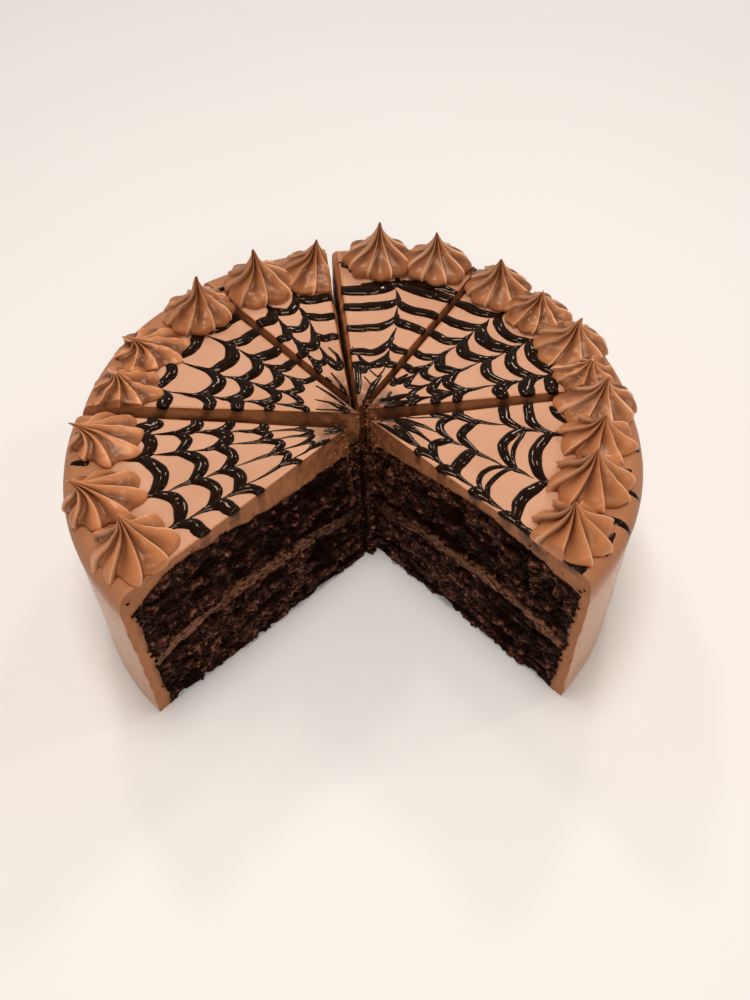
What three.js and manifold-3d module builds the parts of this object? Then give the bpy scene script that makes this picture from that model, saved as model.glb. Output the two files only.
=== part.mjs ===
// A round two-layer chocolate cake, cut into slices, with the front wedge taken out.
// Each slice is two layers of sponge with a filling between them, under a coat of frosting,
// with piped rosettes along the rim and a feathered web of chocolate ganache on top.
// Millimetres, +Z up. Places are measured from the middle of the uncut cake, with -Y to the
// missing wedge, and the last lines centre the whole on the origin.
import * as THREE from 'three';
import { mergeVertices } from 'three/addons/utils/BufferGeometryUtils.js';
import Module from 'manifold-3d';

const wasm = await Module();
wasm.setup();

// Driving sizes of the whole cake
const CAKE_RADIUS = 108;
const CAKE_TOP = 76;
const WALL_THICKNESS = 6;
const SPONGE_LEAN = 3;
const SHOULDER_WIDTH = 6;
const SHOULDER_DROP = 7;
const FIT_GAP = 0.3;

// Heights of the layers
const FILLING_MIDDLE = 30;
const FILLING_THICKNESS = 5;
const FILLING_PEAK_SHIFT = 1.6;
const SPONGE_TOP = 64;
const LAYER_WAVE = 0.7;

// Facets: one step round the wall for about so many degrees, and so many steps from tip to wall
const DEGREES_PER_FACET = 8;
const LAYER_STEPS = 5;
const SHOULDER_STEPS = 3;

// The web of ganache on top
const RIDGE_HEIGHT = 1.2;
const RIDGE_SUNK = 0.6;
const RIDGE_HALF_WIDTH = 2.2;
const CUSP_HALF_WIDTH = 1.0;
const CUSP_PULL = 5;
const RIDGE_EDGE_MARGIN = 0.7;
const RIDGE_CLEARANCE = 0.5;

// Piped rosettes
const RIB_COUNT = 8;
const RIB_OVERHANG = 0.8;

// Where the middle of the whole cake's box lies, from the middle of the uncut cake
const BOX_MIDDLE = [-0.27, 16.24];

const COLOURS = {
  sponge: { color: 0x24130c, roughness: 0.95 },
  filling: { color: 0x5a3420, roughness: 0.6 },
  frosting: { color: 0xb07c55, roughness: 0.5 },
  piping: { color: 0xa06a45, roughness: 0.5 },
};

// One row for each slice, going round from the right of the missing wedge.
// tip: its point at the top; foot: the same at the bottom, where the knife leaned.
// centre: what its wall is round; from, to: the directions of its two cuts, in degrees.
// flare: how much further out the wall is at the top, at the first cut and at the second.
// dome, domeShift: how high its sponge rises and how far out; rise: the same of the filling.
// web: the point that the ganache rings run round, the directions of the drag lines, and
// each ring's radius between one drag line and the next.
const SLICES = {
  f: {
    tip: [6.5, -1.2], foot: [6.5, -1.2], centre: [1.6, -3.0], from: -48.0, to: 6.3, flare: [0.6, 0],
    dome: 6.5, domeShift: 1.0, rise: 9,
    web: {
      middle: [4, 9], drags: [-50.3, -34.6, -15.9],
      rings: [[76, 75.7, 69.7, 64.1], [62, 61.7, 59.2, 54.5], [46, 47.4, 40.7, 37], [34, 35.2, 31.7, 28]],
    },
  },
  e: {
    tip: [5, 5.6], foot: [5, 5.6], centre: [1.5, 5.5], from: 4.6, to: 57.3, flare: [0, 0],
    dome: 5, domeShift: 1.3, rise: 7,
    web: {
      middle: [5, 5.6], drags: [12.5, 28, 43.5],
      rings: [
        [73.8, 74.5, 72.9, 76], [63.9, 63.9, 63.5, 64.2], [53.4, 52, 51.7, 52.4],
        [35.8, 35.5, 38.5, 38.4], [27.4, 28, 29.9, 29], [18, 18, 21, 20],
      ],
    },
  },
  d: {
    tip: [1.9, 6], foot: [1.9, 6], centre: [0.6, 6.7], from: 57.8, to: 94.0, flare: [0, 0],
    dome: 5, domeShift: 1.3, rise: 7,
    web: {
      middle: [1.9, 6], drags: [76],
      rings: [[78, 74.6], [64.5, 63], [53.3, 48.6], [37.8, 33], [28.5, 25.2]],
    },
  },
  c: {
    tip: [-1.5, 12.5], foot: [-1.5, 12.5], centre: [-0.8, 6.2], from: 96.3, to: 128.8, flare: [0, 0],
    dome: 5, domeShift: 1.3, rise: 7,
    web: {
      middle: [-1.5, 8], drags: [108, 118.5],
      rings: [[68, 64, 63], [55.5, 51.5, 49], [41.5, 38.5, 36], [24, 27, 24]],
    },
  },
  b: {
    tip: [1.5, 3.4], foot: [1.5, 3.4], centre: [0.3, 4.2], from: 129.2, to: 175.1, flare: [0, 0],
    dome: 5, domeShift: 1.3, rise: 7,
    web: {
      middle: [1.5, 3.4], drags: [141, 155.5, 168.6],
      rings: [
        [77, 78.3, 77.4, 75], [64.9, 60.8, 58, 58.4], [50.3, 47.6, 45.6, 46.7],
        [40, 36.6, 33, 34.8], [27, 27, 23, 20],
      ],
    },
  },
  a: {
    tip: [-3.5, -5.0], foot: [2.5, -7.5], centre: [-2.2, -3.7], from: 173.3, to: 225.2, flare: [0, 2.4],
    dome: 7.5, domeShift: 2.2, rise: 8,
    web: {
      middle: [-3.5, -5.0], drags: [179.6, 189.3, 203.6, 217.2],
      rings: [
        [74.5, 72, 70, 69, 69.8], [57, 59.6, 55.1, 55.4, 56.2], [44.4, 44.5, 44.1, 45.5, 44.5],
        [31, 31.2, 25.6, 26, 24.9], [18, 15, 15, 16, 13],
      ],
    },
  },
};

// One row for each rosette: its slice, the middle of its foot, its radius and height,
// how far its peak leans, the direction of one rib and the twist from foot to peak, in degrees.
const ROSETTES = {
  a1: { slice: 'a', at: [-76.5, -61], radius: 15, height: 18, lean: [-2, 1], rib: 20, twist: 18 },
  a2: { slice: 'a', at: [-89.5, -38], radius: 14.5, height: 14, lean: [-10, -2], rib: 5, twist: 20 },
  a3: { slice: 'a', at: [-92, -7.5], radius: 14, height: 11, lean: [-12.5, -2], rib: 12, twist: 20 },
  b1: { slice: 'b', at: [-88.5, 19.5], radius: 14, height: 9, lean: [-4, 1], rib: 30, twist: 25 },
  b2: { slice: 'b', at: [-82, 44], radius: 14.5, height: 12, lean: [-10, -2], rib: 10, twist: 18 },
  b3: { slice: 'b', at: [-64, 64], radius: 13.8, height: 20, lean: [-1, 0], rib: 25, twist: 12 },
  c1: { slice: 'c', at: [-40, 82], radius: 14.3, height: 20, lean: [-1, 0], rib: 15, twist: 14 },
  c2: { slice: 'c', at: [-16, 91], radius: 13.8, height: 18.5, lean: [2, 0], rib: 0, twist: 10 },
  d1: { slice: 'd', at: [13.5, 99.5], radius: 13.8, height: 21.5, lean: [0.5, 0], rib: 22, twist: 6 },
  d2: { slice: 'd', at: [38.5, 94.5], radius: 14.3, height: 18.5, lean: [0, 0.5], rib: 8, twist: 8 },
  e1: { slice: 'e', at: [64, 76.5], radius: 14, height: 17, lean: [0.5, 0], rib: 14, twist: 12 },
  e2: { slice: 'e', at: [78, 58.5], radius: 14, height: 14, lean: [2, 0], rib: 33, twist: 15 },
  e3: { slice: 'e', at: [89.5, 37.5], radius: 15, height: 15, lean: [2, 0], rib: 3, twist: 16 },
  e4: { slice: 'e', at: [92.5, 19.5], radius: 13, height: 9, lean: [2, 1], rib: 18, twist: 10 },
  f1: { slice: 'f', at: [93.5, 3], radius: 15.2, height: 14, lean: [3, 1], rib: 10, twist: 14 },
  f2: { slice: 'f', at: [90, -16], radius: 15.5, height: 14, lean: [2, 0], rib: 28, twist: 12 },
  f3: { slice: 'f', at: [84.5, -37.5], radius: 15.5, height: 18, lean: [0, 1], rib: 5, twist: 8 },
  f4: { slice: 'f', at: [73.5, -60.5], radius: 15.5, height: 18, lean: [-1, 0], rib: 18, twist: 6 },
};

// A rosette's outline from foot to peak: height, radius and depth of the grooves between
// its ribs, as shares of its own height and radius.
const DROP_OUTLINE = [
  [0, 0.92, 0.08],
  [0.1, 1.0, 0.1],
  [0.25, 0.93, 0.18],
  [0.38, 0.7, 0.26],
  [0.52, 0.43, 0.32],
  [0.69, 0.22, 0.34],
  [0.86, 0.09, 0.25],
];

const radians = THREE.MathUtils.degToRad;
const mix = THREE.MathUtils.lerp;

// A closed mesh from points and triangles, its doubles merged and its faces turned outwards.
function closedGeometry(points, triangles) {
  const loose = new THREE.BufferGeometry();
  loose.setAttribute('position', new THREE.BufferAttribute(new Float32Array(points.flat()), 3));
  loose.setIndex(triangles.flat());
  const merged = mergeVertices(loose, 1e-3);
  const index = Array.from(merged.getIndex().array);
  const kept = [];
  for (let i = 0; i < index.length; i += 3) {
    const [a, b, c] = index.slice(i, i + 3);
    if (a !== b && b !== c && c !== a) kept.push(a, b, c);
  }
  merged.setIndex(signedVolume(merged, kept) < 0 ? kept.reverse() : kept);
  return merged;
}

function signedVolume(geometry, index) {
  const position = geometry.getAttribute('position');
  const corner = (i) => new THREE.Vector3().fromBufferAttribute(position, index[i]);
  let sum = 0;
  for (let i = 0; i < index.length; i += 3) {
    sum += corner(i).dot(corner(i + 1).cross(corner(i + 2))) / 6;
  }
  return sum;
}

function toSolid(geometry) {
  const bare = geometry.clone();
  bare.deleteAttribute('normal');
  bare.deleteAttribute('uv');
  const merged = mergeVertices(bare);
  const vertProperties = new Float32Array(merged.getAttribute('position').array);
  const triVerts = new Uint32Array(merged.getIndex().array);
  return new wasm.Manifold(new wasm.Mesh({ numProp: 3, vertProperties, triVerts }));
}

function toGeometry(solid) {
  const mesh = solid.getMesh();
  const geometry = new THREE.BufferGeometry();
  geometry.setAttribute('position', new THREE.BufferAttribute(new Float32Array(mesh.vertProperties), 3));
  geometry.setIndex(new THREE.BufferAttribute(new Uint32Array(mesh.triVerts), 1));
  return geometry;
}

// Where a line from a point in a direction, in degrees, meets a circle.
function meetCircle(from, degrees, centre, radius) {
  const dx = Math.cos(radians(degrees));
  const dy = Math.sin(radians(degrees));
  const ox = from[0] - centre[0];
  const oy = from[1] - centre[1];
  const along = ox * dx + oy * dy;
  const reach = -along + Math.sqrt(along * along - ox * ox - oy * oy + radius * radius);
  return [from[0] + dx * reach, from[1] + dy * reach];
}

// A point of a slice: turn goes from one cut (0) to the other (1), reach from the slice's
// point (0) to the circle of that radius (1).
function slicePoint(slice, turn, reach, radius, z) {
  const rim = meetCircle(slice.tip, mix(slice.from, slice.to, turn), slice.centre, radius);
  const share = Math.min(Math.max(z / CAKE_TOP, 0), 1);
  const x = mix(slice.foot[0], slice.tip[0], share);
  const y = mix(slice.foot[1], slice.tip[1], share);
  return [mix(x, rim[0], reach), mix(y, rim[1], reach), z];
}

function facetCount(slice) {
  return Math.round((slice.to - slice.from) / DEGREES_PER_FACET);
}

// Carries a closed outline of [reach, radius, z] from one cut of a slice to the other. Each
// four-sided facet is split the same way whether it faces up or down, so that two layers
// that meet have the same facets.
function sweepSlice(slice, outlineAt) {
  const steps = facetCount(slice);
  const points = [];
  const triangles = [];
  const outline = outlineAt(0);
  const size = outline.length;
  for (let i = 0; i <= steps; i++) {
    const turn = i / steps;
    for (const [reach, radius, z] of outlineAt(turn)) {
      points.push(slicePoint(slice, turn, reach, radius, z));
    }
  }
  for (let i = 0; i < steps; i++) {
    for (let j = 0; j < size; j++) {
      const next = (j + 1) % size;
      const a = i * size + j;
      const b = i * size + next;
      if (outline[next][0] < outline[j][0]) triangles.push([a, b, a + size], [b, b + size, a + size]);
      else triangles.push([a, b, b + size], [a, b + size, a + size]);
    }
  }
  for (const [turn, offset] of [[0, 0], [1, steps * size]]) {
    const flat = outlineAt(turn).map(([reach, radius, z]) => new THREE.Vector2(reach * radius, z));
    for (const [a, b, c] of THREE.ShapeUtils.triangulateShape(flat, [])) {
      triangles.push(turn === 0 ? [offset + a, offset + c, offset + b] : [offset + a, offset + b, offset + c]);
    }
  }
  return closedGeometry(points, triangles);
}

// Gentle unevenness of the layers, in millimetres.
function wave(turn, reach) {
  return LAYER_WAVE * Math.sin(5 * turn + 9 * reach) * reach * (1 - reach) * 4;
}

function fillingHeight(slice, turn, reach, side) {
  const hump = slice.rise * Math.sin(Math.PI * reach ** FILLING_PEAK_SHIFT);
  return FILLING_MIDDLE + hump + wave(turn, reach) + side * FILLING_THICKNESS / 2;
}

function spongeTop(slice, turn, reach) {
  return SPONGE_TOP + slice.dome * Math.sin(Math.PI * reach ** slice.domeShift) + wave(turn + 1, reach);
}

// The sponge reaches a little further out at the top than at the bottom.
function spongeRadius(z) {
  return CAKE_RADIUS - WALL_THICKNESS + SPONGE_LEAN * z / SPONGE_TOP;
}

const reaches = Array.from({ length: LAYER_STEPS + 1 }, (_, i) => i / LAYER_STEPS);

// One layer of a slice, between a lower and an upper height that are functions of turn and reach.
function makeLayer(slice, lower, upper) {
  const point = (turn, reach, height) => {
    const z = height(turn, reach);
    return [reach, spongeRadius(z), z];
  };
  return sweepSlice(slice, (turn) => [
    ...reaches.map((reach) => point(turn, reach, lower)),
    ...reaches.toReversed().map((reach) => point(turn, reach, upper)),
  ]);
}

// The frosting of a slice: a slab on top and the wall outside, with a rounded shoulder between.
function makeCoat(slice) {
  const rimAt = (turn) => CAKE_RADIUS + slice.flare[0] * (1 - turn) ** 2 + slice.flare[1] * turn ** 2;
  const shoulderAt = (turn) => Array.from({ length: SHOULDER_STEPS + 1 }, (_, i) => {
    const angle = Math.PI / 2 * (1 - i / SHOULDER_STEPS);
    const radius = rimAt(turn) - SHOULDER_WIDTH * (1 - Math.sin(angle));
    return [1, radius, CAKE_TOP - SHOULDER_DROP * (1 - Math.cos(angle))];
  });
  return sweepSlice(slice, (turn) => [
    ...reaches.map((reach) => {
      const z = spongeTop(slice, turn, reach);
      return [reach, spongeRadius(z) + FIT_GAP, z + FIT_GAP];
    }),
    [1, spongeRadius(0) + FIT_GAP, 0],
    [1, CAKE_RADIUS, 0],
    ...shoulderAt(turn),
    [0, rimAt(turn) - SHOULDER_WIDTH, CAKE_TOP],
  ]);
}

// The direction, from the web's middle, of a slice's cut at a given radius.
function cutDirection(slice, which, radius) {
  const rim = meetCircle(slice.web.middle, 0, slice.web.middle, radius);
  const reach = rim[0] - slice.web.middle[0];
  const cut = slice[which];
  const hit = meetCircle(slice.tip, cut, slice.web.middle, reach);
  const degrees = THREE.MathUtils.radToDeg(
    Math.atan2(hit[1] - slice.web.middle[1], hit[0] - slice.web.middle[0]));
  const turns = Math.round((cut - degrees) / 360);
  const inward = THREE.MathUtils.radToDeg(RIDGE_EDGE_MARGIN / radius) * (which === 'from' ? 1 : -1);
  return degrees + turns * 360 + inward;
}

// The middle line of one ring: each stretch bows inwards between two drag lines, and at a
// drag line the ring is pulled outwards into a cusp.
function ringPath(slice, radii) {
  const bounds = [
    cutDirection(slice, 'from', radii[0]),
    ...slice.web.drags,
    cutDirection(slice, 'to', radii[radii.length - 1]),
  ];
  const path = [];
  radii.forEach((radius, i) => {
    const [start, end] = [bounds[i], bounds[i + 1]];
    if (i > 0) path.push([start, (radius + radii[i - 1]) / 2 + CUSP_PULL, CUSP_HALF_WIDTH]);
    else path.push([start, radius, RIDGE_HALF_WIDTH]);
    path.push([mix(start, end, 0.32), radius, RIDGE_HALF_WIDTH]);
    path.push([mix(start, end, 0.68), radius, RIDGE_HALF_WIDTH]);
    if (i === radii.length - 1) path.push([end, radius, RIDGE_HALF_WIDTH]);
  });
  return path.filter((point, i) => i === 0 || point[0] > path[i - 1][0] + 0.5);
}

// A ridge of triangular section along a ring's middle line, sunk a little into the frosting.
function makeRidge(slice, radii) {
  const [cx, cy] = slice.web.middle;
  const points = [];
  const triangles = [];
  const path = ringPath(slice, radii);
  path.forEach(([degrees, radius, half]) => {
    const dx = Math.cos(radians(degrees));
    const dy = Math.sin(radians(degrees));
    const slim = Math.min(half, radius / 9);
    points.push([cx + dx * (radius - slim), cy + dy * (radius - slim), CAKE_TOP - RIDGE_SUNK]);
    points.push([cx + dx * radius, cy + dy * radius, CAKE_TOP + RIDGE_HEIGHT]);
    points.push([cx + dx * (radius + slim), cy + dy * (radius + slim), CAKE_TOP - RIDGE_SUNK]);
  });
  for (let i = 0; i + 1 < path.length; i++) {
    for (let j = 0; j < 3; j++) {
      const a = i * 3 + j;
      const b = i * 3 + ((j + 1) % 3);
      triangles.push([a, b, b + 3], [a, b + 3, a + 3]);
    }
  }
  const last = (path.length - 1) * 3;
  triangles.push([0, 2, 1], [last, last + 1, last + 2]);
  return toSolid(closedGeometry(points, triangles));
}

// A frosted slice with its share of the web, cut away under the rosettes.
function makeFrosting(name) {
  const slice = SLICES[name];
  let web = null;
  for (const radii of slice.web.rings) {
    const ridge = makeRidge(slice, radii);
    web = web ? web.add(ridge) : ridge;
  }
  for (const rosette of Object.values(ROSETTES)) {
    if (rosette.slice !== name) continue;
    const reach = rosette.radius + RIDGE_CLEARANCE;
    const clear = new THREE.CylinderGeometry(reach, reach, 4 * RIDGE_HEIGHT, 12);
    clear.rotateX(Math.PI / 2);
    clear.translate(rosette.at[0], rosette.at[1], CAKE_TOP);
    web = web.subtract(toSolid(clear));
  }
  return toGeometry(toSolid(makeCoat(slice)).add(web));
}

// A piped drop: rings of ribs and grooves that narrow to a leaning, slightly twisted peak.
function makeDrop(rosette) {
  const { at, radius, height, lean, rib, twist } = rosette;
  const around = RIB_COUNT * 2;
  const points = [];
  const triangles = [];
  const shift = (share) => [at[0] + lean[0] * share ** 1.6, at[1] + lean[1] * share ** 1.6];
  for (const [share, reach, groove] of DROP_OUTLINE) {
    const [cx, cy] = shift(share);
    for (let i = 0; i < around; i++) {
      const r = radius * reach * (i % 2 ? 1 - groove : 1);
      const angle = radians(rib + twist * share + 360 * i / around);
      points.push([cx + r * Math.cos(angle), cy + r * Math.sin(angle), CAKE_TOP + FIT_GAP + height * share]);
    }
  }
  points.push([...shift(1), CAKE_TOP + FIT_GAP + height]);
  points.push([at[0], at[1], CAKE_TOP + FIT_GAP]);
  const peak = points.length - 2;
  const foot = points.length - 1;
  const rings = DROP_OUTLINE.length;
  for (let i = 0; i < around; i++) {
    const next = (i + 1) % around;
    for (let k = 0; k + 1 < rings; k++) {
      const a = k * around + i;
      const b = k * around + next;
      triangles.push([a, b, b + around], [a, b + around, a + around]);
    }
    triangles.push([(rings - 1) * around + i, (rings - 1) * around + next, peak]);
    triangles.push([next, i, foot]);
  }
  return closedGeometry(points, triangles);
}

// A block that takes away everything beyond a plane through a point, facing a direction.
function blockBeyond(point, degrees) {
  const size = 60;
  const block = new THREE.BoxGeometry(size, size * 2, size * 2);
  block.translate(size / 2, 0, 0);
  block.rotateZ(radians(degrees));
  block.translate(point[0], point[1], CAKE_TOP);
  return toSolid(block);
}

// The planes that trim a rosette: half way to each neighbour that it touches, and along
// the cuts of its slice where it reaches past them.
function trimmingPlanes(rosette) {
  const planes = [];
  for (const other of Object.values(ROSETTES)) {
    const dx = other.at[0] - rosette.at[0];
    const dy = other.at[1] - rosette.at[1];
    const distance = Math.hypot(dx, dy);
    if (distance === 0 || distance > rosette.radius + other.radius + FIT_GAP) continue;
    const share = rosette.radius / (rosette.radius + other.radius) - FIT_GAP / 2 / distance;
    const point = [rosette.at[0] + dx * share, rosette.at[1] + dy * share];
    planes.push([point, THREE.MathUtils.radToDeg(Math.atan2(dy, dx))]);
  }
  const slice = SLICES[rosette.slice];
  for (const [cut, side] of [[slice.from, -90], [slice.to, 90]]) {
    const facing = cut + side;
    const nx = Math.cos(radians(facing));
    const ny = Math.sin(radians(facing));
    const point = [slice.tip[0] + nx * RIB_OVERHANG, slice.tip[1] + ny * RIB_OVERHANG];
    const away = (point[0] - rosette.at[0]) * nx + (point[1] - rosette.at[1]) * ny;
    if (away > rosette.radius) continue;
    planes.push([[rosette.at[0] + nx * away, rosette.at[1] + ny * away], facing]);
  }
  return planes;
}

function makeRosette(rosette) {
  let solid = toSolid(makeDrop(rosette));
  for (const [point, degrees] of trimmingPlanes(rosette)) {
    solid = solid.subtract(blockBeyond(point, degrees));
  }
  return toGeometry(solid);
}

const cake = new THREE.Group();
cake.position.set(-BOX_MIDDLE[0], -BOX_MIDDLE[1], 0);

function addPiece(name, geometry, finish) {
  geometry.computeVertexNormals();
  const mesh = new THREE.Mesh(geometry, new THREE.MeshStandardMaterial({ ...finish, metalness: 0 }));
  mesh.name = name;
  cake.add(mesh);
}

for (const [name, slice] of Object.entries(SLICES)) {
  const lowerTop = (turn, reach) => fillingHeight(slice, turn, reach, -1);
  const upperFoot = (turn, reach) => fillingHeight(slice, turn, reach, 1);
  const top = (turn, reach) => spongeTop(slice, turn, reach);
  const above = (height) => (turn, reach) => height(turn, reach) + FIT_GAP;
  addPiece(`lower_sponge_${name}`, makeLayer(slice, () => 0, lowerTop), COLOURS.sponge);
  addPiece(`filling_${name}`, makeLayer(slice, above(lowerTop), upperFoot), COLOURS.filling);
  addPiece(`upper_sponge_${name}`, makeLayer(slice, above(upperFoot), top), COLOURS.sponge);
  addPiece(`frosting_${name}`, makeFrosting(name), COLOURS.frosting);
}

for (const [name, rosette] of Object.entries(ROSETTES)) {
  addPiece(`rosette_${name}`, makeRosette(rosette), COLOURS.piping);
}

const whole = new THREE.Group();
whole.add(cake);

export default whole;
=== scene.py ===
"""A round two-layer chocolate cake, cut into slices, with the front wedge taken out.

Each slice is sponge, filling and sponge under a coat of frosting, with a feathered web of
chocolate ganache on top and piped rosettes along the rim. Sizes here are in millimetres from
the middle of the uncut cake, and to_metres puts them in the part's own frame.
"""
import math

import bpy
import numpy as np
from mathutils import Matrix, Vector


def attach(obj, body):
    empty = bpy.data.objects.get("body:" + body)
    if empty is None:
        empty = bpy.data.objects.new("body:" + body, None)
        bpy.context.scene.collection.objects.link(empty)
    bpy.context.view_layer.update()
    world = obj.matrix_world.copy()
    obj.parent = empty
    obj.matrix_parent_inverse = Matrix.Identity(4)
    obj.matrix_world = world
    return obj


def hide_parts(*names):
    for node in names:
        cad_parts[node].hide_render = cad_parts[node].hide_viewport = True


bl_info = {
    "name": "Sliced Chocolate Cake",
    "version": (1, 0, 0),
    "blender": (4, 5, 0),
    "location": "View3D > Sidebar > Cake",
    "description": "Makes a sliced layer cake with piped rosettes and a feathered ganache web",
    "category": "Add Mesh",
}

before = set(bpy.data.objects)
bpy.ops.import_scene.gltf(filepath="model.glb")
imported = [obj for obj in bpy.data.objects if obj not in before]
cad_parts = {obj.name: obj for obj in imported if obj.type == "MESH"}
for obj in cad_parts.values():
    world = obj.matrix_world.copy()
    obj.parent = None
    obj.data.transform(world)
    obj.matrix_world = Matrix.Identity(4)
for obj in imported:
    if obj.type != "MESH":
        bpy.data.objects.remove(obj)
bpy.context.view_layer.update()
BODY = "root"

# Sizes of the whole cake
CAKE_RADIUS = 108.0
CAKE_TOP = 76.0
WALL_THICKNESS = 6.0
SPONGE_LEAN = 3.0
SHOULDER_WIDTH = 6.0
SHOULDER_DROP = 7.0
FIT_GAP = 0.3
FILLING_MIDDLE = 30.0
FILLING_THICKNESS = 5.0
FILLING_PEAK_SHIFT = 1.6
SPONGE_TOP = 64.0
LAYER_WAVE = 0.7
RIB_COUNT = 8
RIB_OVERHANG = 0.8
SOLE_SINK = 0.2
BOX_MIDDLE = (-0.27, 16.24)

# The camera: its place in millimetres, its turn in degrees and its lens
CAMERA_PLACE = (0.0, -267.62, 337.49)
CAMERA_DOWN = 49.108
CAMERA_RIGHT = 1.654
CAMERA_ROLL = -0.563
CAMERA_LENS = 34.96
SENSOR_WIDTH = 36.0
CLIP_START = 0.01

# The floor: half its side and its depth below the cake, its faces along a side, and its two colours
FLOOR_REACH = 3000.0
FLOOR_DEPTH = 0.05
FLOOR_FACES = 12
FLOOR_COLOURS = ((0.85, 0.8, 0.76), (0.88, 0.835, 0.8))

# The light all round, and the lamps: place in metres, width, watts and colour of each
WORLD_COLOUR = (1.0, 0.965, 0.93, 1.0)
WORLD_STRENGTH = 0.355
SOFT_WHITE = (1.0, 0.975, 0.945)
CLEAR_WHITE = (1.0, 0.98, 0.95)
LAMPS = {
    "overhead": ((-0.05, 0.0, 1.2), 0.38, 7.0, SOFT_WHITE),
    "front": ((0.1, -1.1, 0.9), 0.35, 3.7, SOFT_WHITE),
    "back": ((0.42, 1.0, 1.0), 0.16, 2.2, CLEAR_WHITE),
    "back_left": ((-0.35, 1.0, 1.15), 0.16, 2.2, CLEAR_WHITE),
    "right": ((1.1, 0.3, 0.9), 0.14, 1.4, CLEAR_WHITE),
}

# Unevenness of each surface: the amount, size and seed of every cloud in it. The seeds of
# LAYER_EDGE count on from the layer's own. Where places are multiplied by a stretch first, the
# pattern is drawn out along the axes on which the stretch is small.
TOP_WAVES = ((0.22, 21.0, 81), (0.1, 7.0, 82))
WALL_WAVES = ((0.35, 26.0, 83), (0.12, 9.0, 84))
SPATULA_MARKS = ((0.4, 4.6, 85),)
SPATULA_STRETCH = (0.12, 0.12, 1.0)
KNIFE_MARKS = ((0.16, 2.4, 91),)
KNIFE_STRETCH = (1.0, 1.0, 0.35)
FINE_MARKS = ((0.1, 1.1, 92),)
SPONGE_EDGE = ((0.8, 5.5, 51), (0.6, 2.2, 52))
LAYER_EDGE = ((0.6, 7.0, 0), (0.55, 2.6, 1))
CRUMB_STRETCH = (0.75, 0.75, 1.2)
HOLLOW_STRETCH = (0.32, 0.32, 1.0)

# How finely the pieces are divided: on the slices with an open cut, and on the others
OPEN_SLICES = "af"
FROSTING_STEPS = {True: (64, 150, 44, 14), False: (36, 90, 30, 8)}
SHOULDER_STEPS = 7
LAYER_STEPS = {True: (260, 64), False: (96, 30)}
LAYER_WIDTH_STEPS = 14
FILLING_STEPS = 10
WEB_STEPS = (235, 6)
WEB_DEGREE_STEPS = 4.1
DRIP_STEPS = (420, 44)
RIB_STEPS = 20
DROP_ROWS = 64
CORE_STEPS = (110, 60)

# Corners of a crumb or lump, and how far they lie from its middle before they are scaled
BALL_POINTS = 12
BALL_REACH = 1.902

# Marks on the frosting: size and depth of the bubbles in a cut, how far smears of ganache run down
# it and how much that varies, how far stains of crumb reach, in millimetres from the sponge and from
# the wall's inner face and as a share of the way from the point, how strong they are all over an
# open cut, and where the rim's painted shade, darker behind and between the rosettes, starts on the
# top and how wide it is
BUBBLE_SIZE = 4.2
BUBBLE_DEPTH = 3.0
SMEAR_LENGTH = 6.5
SMEAR_SPREAD = 5.0
SPONGE_STAIN_REACH = 3.5
WALL_STAIN_REACH = 3.2
CUT_TIP_STAIN = 0.38
TOP_TIP_STAIN = 0.16
OPEN_CUT_STAIN = 0.35
SHADED_RIM_START = 81.0
SHADED_RIM_WIDTH = 12.0

# Marks on a rosette, as shares of the way between two crests: the width of the bead on each crest,
# of the pale line on it, partly a painted highlight, where the toes are round, and where they are
# drawn out or the strands are rounded, and the place and width of the painted shadow line beside it.
# Last, in millimetres, how far the peak stands over the last row of points.
BEAD_WIDTH = 0.026
ROUND_HIGHLIGHT_WIDTH = 0.044
DRAWN_HIGHLIGHT_WIDTH = 0.034
SHADOW_LINE_PLACE = 0.095
SHADOW_LINE_WIDTH = 0.055
PEAK_RISE = 0.25

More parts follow.
